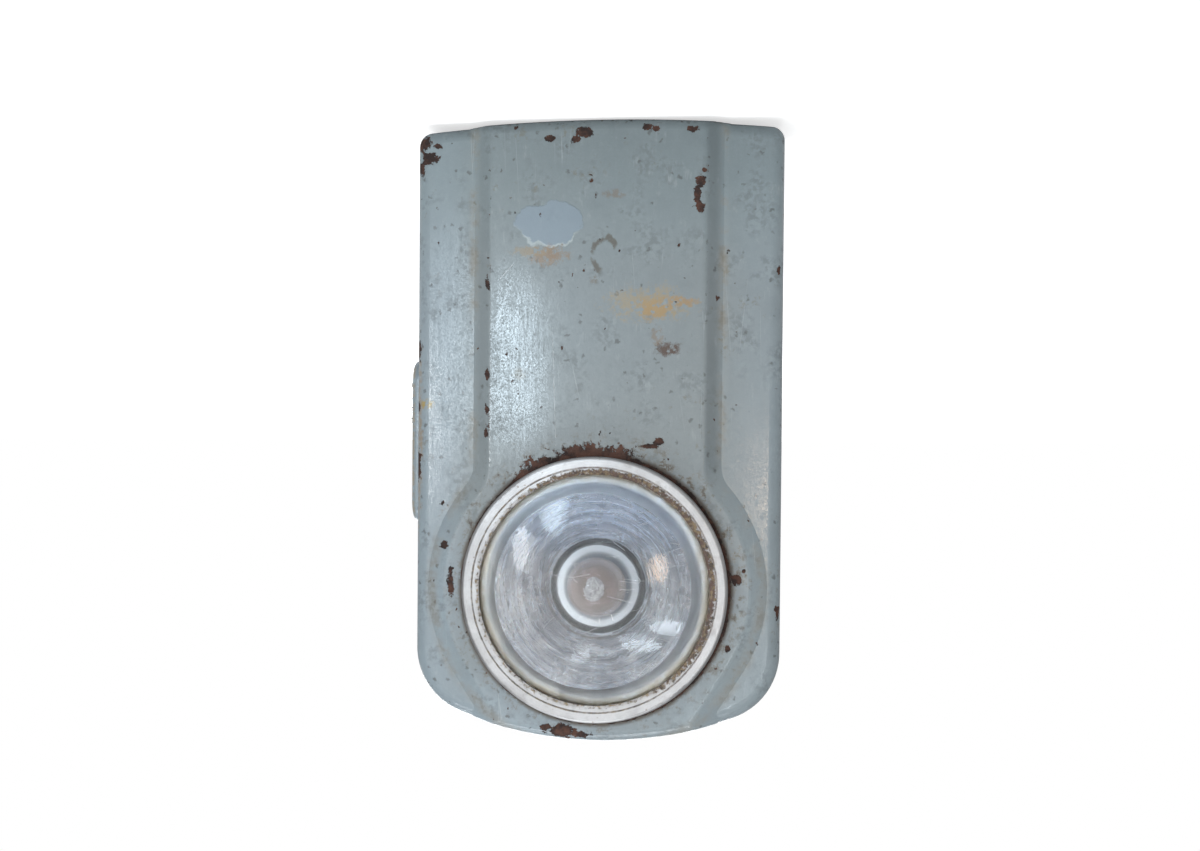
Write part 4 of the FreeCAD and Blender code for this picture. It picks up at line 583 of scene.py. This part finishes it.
def clear_lens():
    """Clear moulded lens, a little yellowed, hazed at its wall and greyed there as painted shade, with
    dust and hair scratches.
    """
    lens = Finish("clear_lens", Transmission_Weight=1.0, IOR=1.26, Specular_IOR_Level=0.35)
    radius = lens.from_lens_axis()
    dust = lens.noise(0.6, 3, 0.7).ramp(0.62, 0.72) * lens.noise(8, 2).ramp(0.45, 0.65)
    hairs = lens.hairs(7, (1, 1, 0.35), 0.010, 0.003) * lens.noise(5, 2, shift=(2, 2, 5)).ramp(0.5, 0.6)
    yellowed = radius.ramp(LENS_WALL, LENS_WALL + 1.0)
    yellowed = yellowed * lens.noise(2.5, 4, 0.6, shift=(3, 3, 3)).ramp(0.25, 0.55)
    rim = radius.ramp(LENS_WALL + 1.1, LENS_WALL + 1.8) * lens.noise(1.5, 4, 0.65).ramp(0.35, 0.6)
    colour = lens.blend(dust * 0.25, LENS_CLEAR, LENS_DUST)
    # Painted shade: the lens greyed towards its wall to tone down the bright ring there.
    colour = lens.blend(radius.ramp(LENS_WALL - 0.9, LENS_WALL + 0.1) * 0.55, colour, LENS_WALL_SHADE)
    colour = lens.blend(yellowed * 0.75, colour, LENS_YELLOW)
    lens.set("Base Color", lens.blend(rim * 0.7, colour, LENS_RIM))
    haze = lens.noise(6, 3, 0.6).ramp(0.35, 0.7) * 0.05
    haze = haze + radius.ramp(LENS_WALL - 2.3, LENS_WALL - 0.3) * 0.45
    rough = 0.03 + haze + yellowed * 0.2 + dust * 0.25 + hairs * 0.25
    lens.set("Roughness", rough.least(0.7))
    lens.set("Normal", lens.bump(lens.noise(9, 2) * 0.02 - hairs * 0.01, 0.6))
    return lens


def silvered_bowl():
    """Silvered reflector gone milky, with pressing rings, tarnish, painted shade in its creases, a
    painted bluish reflection, and painted shadow round the socket.
    """
    bowl = Finish("silvered_bowl")
    radius = bowl.from_lens_axis()
    rise = bowl.z - LENS_HEIGHT
    rings = bowl.rings(radius, 1.1)
    cloud = bowl.noise(9, 3, 0.6, warp=0.6)
    fine = bowl.noise(0.8, 3, 0.65)
    colour = bowl.blend(cloud.ramp(0.35, 0.65), SILVER_CLOUDED, SILVER)
    # The light and dark rings are partly pressing rings and partly painted reflection.
    colour = bowl.tint(colour, 0.72 + rings * 0.58 + fine * 0.08)
    tarnish = bowl.noise(3, 4, 0.6, shift=(4, 4, 4)).ramp(0.58, 0.70) * 0.35
    # Painted shade: dark lines along the bowl's crease and, fainter, its step.
    crease_shade = radius.near(BOWL_CREASE, 0.08, 0.30).most(radius.near(BOWL_STEP, 0.08, 0.30) * 0.25)
    crease_shade = crease_shade * fine.ramp(0.2, 0.5)
    colour = bowl.blend(tarnish.most(crease_shade * 0.8), colour, TARNISH_AND_CREASE_SHADE)
    # Painted reflection: the bowl bluer on its base side.
    colour = bowl.blend(rise.ramp(-3, -13) * 0.7, colour, SILVER_SKY_REFLECTION)
    # Painted shadow in the gap round the socket.
    foot = (radius + (fine - 0.5) * 0.4).ramp(BOWL_FOOT, BOWL_FOOT - 0.35)
    bowl.set("Base Color", bowl.blend(foot * 0.95, colour, BOWL_GAP_SHADOW))
    bowl.set("Metallic", (0.86 - cloud * 0.2 - crease_shade * 0.4 - foot * 0.8).most(0.0))
    # Wiping marks that run round the bowl.
    turn = rise.angle(bowl.x)
    around = bowl.add("ShaderNodeCombineXYZ", {}, {0: turn * 1.3, 1: radius * 0.9})
    inputs = {"Vector": around, "Scale": 1.6, "Detail": 4.0, "Roughness": 0.65}
    rubbed = bowl.add("ShaderNodeTexNoise", {}, inputs)
    rough = 0.18 + cloud * 0.14 + tarnish * 0.3 + rubbed.ramp(0.5, 0.7) * 0.16 + foot * 0.4
    bowl.set("Roughness", rough)
    bowl.set("Normal", bowl.bump(rings * 0.07 + rubbed * 0.16 + cloud * 0.20 + fine * 0.008, 0.8))
    return bowl


def pale_socket():
    """Glazed white socket with painted light: a painted highlight on its crest, brighter on its lit
    side, painted shade towards its bore and painted shadow at its rim.
    """
    socket = Finish("pale_socket", Coat_Weight=0.4, Coat_Roughness=0.1)
    radius = socket.from_lens_axis()
    cloud = socket.noise(3, 4, 0.6)
    fine = socket.noise(0.6, 3, 0.65)
    # Painted highlight on the crest, brighter on the lit +X and lens-end side; painted shade off the
    # crest.
    crest = radius.near(SOCKET_CREST, 0.35, 1.25)
    side = (socket.z - LENS_HEIGHT + socket.x * 0.9).ramp(-5, 5) * 0.35 + 0.65
    colour = socket.blend(crest * side, (0.20, 0.22, 0.245), (0.60, 0.635, 0.67))
    colour = socket.tint(colour, 0.86 + cloud * 0.2 + fine * 0.08)
    specks = socket.noise(0.7, 4, 0.7, shift=(3, 1, 1)).ramp(0.56, 0.64)
    specks = specks * radius.ramp(SOCKET_EDGE - 0.25, SOCKET_EDGE + 0.25)
    # Painted shadow in the gap at the rim, with dark specks just outside it.
    rim = (radius + (cloud - 0.5) * 0.4).ramp(SOCKET_EDGE, SOCKET_EDGE + 0.2)
    socket.set("Base Color", socket.blend(specks.most(rim * 0.9), colour, (0.055, 0.055, 0.062)))
    socket.set("Roughness", 0.24 + cloud * 0.2 + rim * 0.4)
    socket.set("Normal", socket.bump(crest * 0.25 + fine * 0.02, 0.8))
    return socket


def bulb_glass():
    """Thin blown glass, etched milky and a pinkish brown by age."""
    glass = Finish("bulb_glass", Transmission_Weight=0.72, IOR=1.35)
    smoke = glass.noise(4, 2).ramp(0.35, 0.7)
    glass.set("Base Color", glass.blend(smoke, (0.72, 0.635, 0.61), (0.59, 0.51, 0.48)))
    glass.set("Roughness", 0.04 + smoke * 0.08)
    return glass


spun_aluminium().dress("bezel_ring")
clear_lens().dress("lens")
silvered_bowl().dress("reflector")
pale_socket().dress("bulb_socket")
bulb_glass().dress("bulb_globe")


# ------------------------------------------------------------------ small metal parts


def plain_metal(name, light, dark, rust, rough, lumps=2.5, rusty=0.62):
    """Bare or plated metal: cloudy, finely scratched, with rust or tarnish in patches."""
    metal = Finish(name)
    cloud = metal.noise(lumps, 3, 0.6)
    fine = metal.noise(0.4, 3, 0.65)
    spots = metal.noise(1.2, 4, 0.65, shift=(6, 2, 9)).ramp(rusty, rusty + 0.06)
    hairs = metal.hairs(3.5, (0.4, 0.4, 4), 0.02, 0.006)
    colour = metal.tint(metal.blend(cloud.ramp(0.3, 0.7), dark, light), 0.85 + fine * 0.3)
    metal.set("Base Color", metal.blend(spots, colour, rust))
    metal.set("Metallic", 1.0 - spots * 0.8)
    metal.set("Roughness", (rough + cloud * 0.2 + spots * 0.4 - hairs * 0.08).least(0.95))
    metal.set("Normal", metal.bump(fine * 0.010 + spots * fine * 0.03 - hairs * 0.006, 0.8))
    return metal


VERDIGRIS = (0.10, 0.10, 0.06)
BRONZE_STAIN = (0.12, 0.07, 0.04)
LEAD_GREY = (0.1, 0.1, 0.1)
FLUX = (0.16, 0.15, 0.13)

steel = plain_metal("spring_steel", (0.46, 0.455, 0.45), (0.33, 0.325, 0.32), RUST, 0.28, 9, 0.67)
steel.dress("belt_clip", "catch_spring")
rivets = plain_metal("dull_rivet_steel", (0.46, 0.45, 0.43), (0.28, 0.26, 0.24), RUST, 0.38, 1.2)
rivets.dress("clip_rivets", "switch_rivets", "catch_rivet", "hinge_pin")
brass = plain_metal("tarnished_brass", (0.62, 0.44, 0.17), (0.36, 0.24, 0.09), VERDIGRIS, 0.32)
brass.dress("battery_short_strip", "battery_long_strip", "slider_contact", "bulb_cap")
bronze = plain_metal("spring_bronze", (0.58, 0.35, 0.16), (0.36, 0.20, 0.10), BRONZE_STAIN, 0.30)
bronze.dress("switch_leaf")
nickel = plain_metal("nickelled_knob", (0.60, 0.59, 0.57), (0.38, 0.37, 0.35), RUST, 0.26, 1.6)
nickel.dress("switch_slider", "morse_button")
wire = plain_metal("lead_wire", (0.50, 0.50, 0.51), (0.30, 0.30, 0.31), LEAD_GREY, 0.35, 0.8)
wire.dress("bulb_leads", "bulb_filament")
solder = plain_metal("solder", (0.50, 0.50, 0.49), (0.33, 0.33, 0.32), FLUX, 0.45, 0.8)
solder.dress("bulb_tip")


# ------------------------------------------------------------------ moulded, poured and pressed parts


def moulded(name, colour, dark, rough, lumps=3.0, dust=0.3):
    """Moulded or poured stuff: slightly cloudy, dusty and worn."""
    stuff = Finish(name)
    cloud = stuff.noise(lumps, 4, 0.6)
    fine = stuff.noise(0.5, 3, 0.65)
    base = stuff.tint(stuff.blend(cloud.ramp(0.35, 0.7), colour, dark), 0.88 + fine * 0.24)
    haze = stuff.noise(5, 3, shift=(9, 3, 1)).ramp(0.5, 0.75) * dust
    stuff.set("Base Color", stuff.blend(haze, base, (0.36, 0.33, 0.28)))
    stuff.set("Roughness", (rough + (cloud - 0.5) * 0.2 + haze * 0.4).least(0.95))
    stuff.set("Normal", stuff.bump(fine * 0.03 + cloud * 0.05, 0.7))
    return stuff


def fibre(name, colour, dark, rough):
    """Pressed fibre board or waxed card: flecks that lie along the sheet, and scuffs."""
    board = Finish(name)
    flecks = board.noise(0.7, 4, 0.7, stretch=(3.5, 1, 1))
    cloud = board.noise(11, 3)
    scuff = board.noise(2.4, 4, 0.65, shift=(1, 5, 2)).ramp(0.60, 0.72)
    base = board.tint(board.blend(cloud.ramp(0.3, 0.7), colour, dark), 0.78 + flecks * 0.44)
    board.set("Base Color", board.blend(scuff * 0.35, base, (0.42, 0.36, 0.28)))
    board.set("Roughness", (rough + flecks * 0.15 + scuff * 0.15).least(0.95))
    board.set("Normal", board.bump(flecks * 0.05, 0.8))
    return board


moulded("pressed_stem_glass", (0.60, 0.54, 0.51), (0.46, 0.40, 0.37), 0.20, dust=0.0).dress("bulb_stem")
moulded("black_glass", (0.012, 0.012, 0.014), (0.03, 0.03, 0.03), 0.16).dress("bulb_insulator")
moulded("moulded_pin", (0.05, 0.035, 0.03), (0.03, 0.02, 0.018), 0.38).dress("button_pin")
moulded("poured_pitch", (0.022, 0.019, 0.017), (0.05, 0.043, 0.036), 0.32, 5.0).dress("battery_seal")
board = fibre("brown_pressboard", (0.19, 0.10, 0.055), (0.12, 0.065, 0.035), 0.62)
board.dress("cover_liner", "switch_base")
fibre("waxed_card", (0.20, 0.17, 0.12), (0.13, 0.11, 0.08), 0.48).dress("battery_case")


# ------------------------------------------------------------------ the bulb's sealed tip

PIP_RADIUS = 1.8 * MM
PIP_DEPTH = 1.1 * MM  # from the crown of the globe in to the middle of the drop
PIP_SHAPE = (1.0, 0.60, 1.25)
PIP_UNEVEN = 0.7 * MM


def melted_glass():
    """Thick milky glass at the bulb's sealed tip."""
    tip = Finish("melted_glass", Transmission_Weight=0.35, IOR=1.4)
    swirl = tip.noise(0.9, 3, 0.6, warp=1.0)
    tip.set("Base Color", tip.blend(swirl.ramp(0.35, 0.65), (0.42, 0.41, 0.415), (0.80, 0.79, 0.80)))
    tip.set("Roughness", 0.08 + swirl * 0.12)
    tip.set("Normal", tip.bump(swirl * 0.3, 0.9))
    return tip.material


def make_bulb_pip():
    """Sealed tip on the globe's crown: an uneven drop that leans to one side."""
    low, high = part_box("bulb_globe")
    crown = Vector(((low.x + high.x) / 2, low.y + PIP_DEPTH, (low.z + high.z) / 2))
    bpy.ops.object.select_all(action="DESELECT")
    bpy.ops.mesh.primitive_ico_sphere_add(subdivisions=4, radius=PIP_RADIUS, location=crown)
    pip = bpy.context.object
    pip.name = "bulb_pip"
    bpy.ops.object.mode_set(mode="EDIT")
    bpy.ops.mesh.select_all(action="SELECT")
    bpy.ops.transform.resize(value=PIP_SHAPE)
    bpy.ops.transform.vertex_random(offset=PIP_UNEVEN, seed=5)
    bpy.ops.mesh.vertices_smooth(factor=0.6, repeat=3)
    bpy.ops.object.mode_set(mode="OBJECT")
    bpy.ops.object.transform_apply(location=True, rotation=True, scale=True)
    bpy.ops.object.shade_smooth()
    pip.data.materials.append(melted_glass())
    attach(pip, "bulb")


make_bulb_pip()


# ------------------------------------------------------------------ studio

FLOOR_DROP = 0.2 * MM  # keeps the floor just clear of the base
FLOOR_GREY = (0.70, 0.70, 0.70)
AMBIENT = 0.34  # level of the surroundings, next to the white that the camera sees
LAMP_MIDDLE = (0, 0, 0.06)
WHITE = (1, 1, 1)
COOL_WHITE = (0.90, 0.96, 1.0)
PALE_BLUE = (0.72, 0.88, 1.0)
SKY_BLUE = (0.80, 0.91, 1.0)

FRAME_WIDTH = 1200  # pixels
FOCAL_LENGTH = 1583.15  # pixels
FRAME_SHIFT = 80  # pixels, both ways
SENSOR_WIDTH = 36  # mm
CAMERA_PLACE = (-0.023807, -0.300, 0.063928)
CAMERA_RIGHT = (-0.992067, 0.125517, -0.006949)
CAMERA_UP = (0.009628, 0.020746, -0.999738)
CAMERA_AHEAD = (0.125340, 0.991875, 0.021790)


def floor_finish():
    """Pale floor that shows as white to the camera but keeps the lamp's shadow."""
    floor = Finish("pale_floor")
    matt = floor.add("ShaderNodeBsdfDiffuse", {}, {"Color": FLOOR_GREY})
    reach = floor.add("ShaderNodeVectorMath", {"operation": "LENGTH"}, {0: floor.where}, "Value")
    inputs = {"Value": reach, "From Min": 0.15, "From Max": 0.9, "To Min": 0.62, "To Max": 1.0}
    level = floor.add("ShaderNodeMapRange", {}, inputs)
    glow = floor.add("ShaderNodeEmission", {}, {"Color": level})
    both = floor.add("ShaderNodeAddShader", {}, {0: matt, 1: glow})
    seen = floor.add("ShaderNodeLightPath", {}, {}, "Is Camera Ray")
    shown = floor.add("ShaderNodeMixShader", {}, {0: seen, 1: matt, 2: both})
    floor.plug(floor.tree.nodes["Material Output"].inputs["Surface"], shown)
    floor.tree.nodes.remove(floor.shader)
    return floor.material


def make_floor():
    bpy.ops.object.select_all(action="DESELECT")
    bpy.ops.mesh.primitive_plane_add(size=6, location=(0, 0, -FLOOR_DROP))
    floor = bpy.context.object
    floor.name = "studio_floor"
    floor.data.materials.append(floor_finish())


def make_world():
    """White to the camera; a softer level for the light it gives and for reflections."""
    world = bpy.data.worlds.new("studio")
    bpy.context.scene.world = world
    world.use_nodes = True
    sky = Net(world.node_tree)
    back = sky.tree.nodes["Background"]
    seen = sky.add("ShaderNodeLightPath", {}, {}, "Is Camera Ray")
    level = sky.add("ShaderNodeMapRange", {}, {"Value": seen, "To Min": AMBIENT})
    sky.plug(back.inputs["Color"], WHITE)
    sky.plug(back.inputs["Strength"], level)


def area_light(
    name, place, target, width, height, power, colour=WHITE, light=True, shine=True, shape="RECTANGLE"
):
    """Soft light: light says whether it lights things, shine whether they reflect it."""
    lamp = bpy.data.lights.new(name, "AREA")
    lamp.shape = shape
    lamp.size = width
    lamp.size_y = height
    lamp.energy = power
    lamp.color = colour
    lamp_object = bpy.data.objects.new(name, lamp)
    bpy.context.scene.collection.objects.link(lamp_object)
    lamp_object.location = place
    lamp_object.rotation_euler = (Vector(target) - Vector(place)).to_track_quat("-Z", "Y").to_euler()
    lamp_object.visible_camera = False
    lamp_object.visible_diffuse = light
    lamp_object.visible_glossy = shine


def window(name, place, target, width, height, power, colour):
    """A small bright window that lights nothing and shows only as a reflection."""
    area_light(name, place, target, width, height, power, colour, light=False, shape="ELLIPSE")


def bowl_window(name, azimuth, elevation, distance, width, height, power, colour):
    """A window that the lens and the bowl reflect, seen from them in the given direction."""
    turn, rise = math.radians(azimuth), math.radians(elevation)
    lens = Vector((MIDDLE_X * MM, 0, LENS_HEIGHT * MM))
    away = Vector((math.sin(turn) * math.cos(rise), -math.cos(turn) * math.cos(rise), math.sin(rise)))
    window(name, lens + away * distance, lens, width, height, power, colour)


def make_camera():
    """The lamp hangs lens down in the view: the camera is turned over."""
    camera = bpy.data.cameras.new("camera")
    camera.sensor_width = SENSOR_WIDTH
    camera.lens = SENSOR_WIDTH * FOCAL_LENGTH / FRAME_WIDTH
    camera.shift_x = FRAME_SHIFT / FRAME_WIDTH
    camera.shift_y = FRAME_SHIFT / FRAME_WIDTH
    camera.clip_start = 0.01
    camera_object = bpy.data.objects.new("camera", camera)
    bpy.context.scene.collection.objects.link(camera_object)
    turned = Matrix((CAMERA_RIGHT, CAMERA_UP, -Vector(CAMERA_AHEAD))).transposed().to_4x4()
    camera_object.matrix_world = Matrix.Translation(CAMERA_PLACE) @ turned
    bpy.context.scene.camera = camera_object


make_floor()
make_world()
# Places and sizes in metres, power in watts.
area_light("front_soft", (0.45, -1.2, 0.45), LAMP_MIDDLE, 0.8, 0.8, 6.5, (1.0, 1.0, 0.99), shine=False)
area_light("side_fill", (-0.9, -0.5, 0.35), LAMP_MIDDLE, 0.5, 0.5, 1.0, (1.0, 0.97, 0.94), shine=False)
area_light("top_soft", (0.15, -0.42, 0.92), (0, 0, 0.10), 0.9, 0.25, 4.2, (0.92, 0.96, 1.0))
area_light("back", (0.2, 0.95, 0.60), LAMP_MIDDLE, 0.8, 0.6, 7.0)
area_light("room", (0.15, -1.2, 0.35), LAMP_MIDDLE, 1.3, 0.9, 4.0, light=False)
area_light("edge_strip", (0.05, -0.06, 0.50), (0, 0, 0.11), 0.5, 0.03, 0.45, COOL_WHITE, light=False)
window("window_side", (0.053, -0.12, 0.030), (0.0257, -0.0117, 0.037), 0.012, 0.060, 0.011, PALE_BLUE)
window("window_panel", (0.0324, -0.12, 0.0365), (0.0137, -0.0125, 0.044), 0.017, 0.044, 0.036, PALE_BLUE)
bowl_window("window_warm", -12.5, -2, 0.35, 0.024, 0.044, 0.046, (1.0, 0.72, 0.50))
bowl_window("window_left", 22, -6, 0.35, 0.024, 0.066, 0.100, (0.95, 0.98, 1.0))
bowl_window("window_low", -8, 17, 0.42, 0.070, 0.022, 0.095, SKY_BLUE)
bowl_window("window_lower", -14.5, 12.5, 0.42, 0.070, 0.024, 0.120, SKY_BLUE)
bowl_window("window_small", 7, 20, 0.42, 0.040, 0.018, 0.030, (0.85, 0.93, 1.0))
make_camera()

scene = bpy.context.scene
scene.view_settings.view_transform = "Standard"
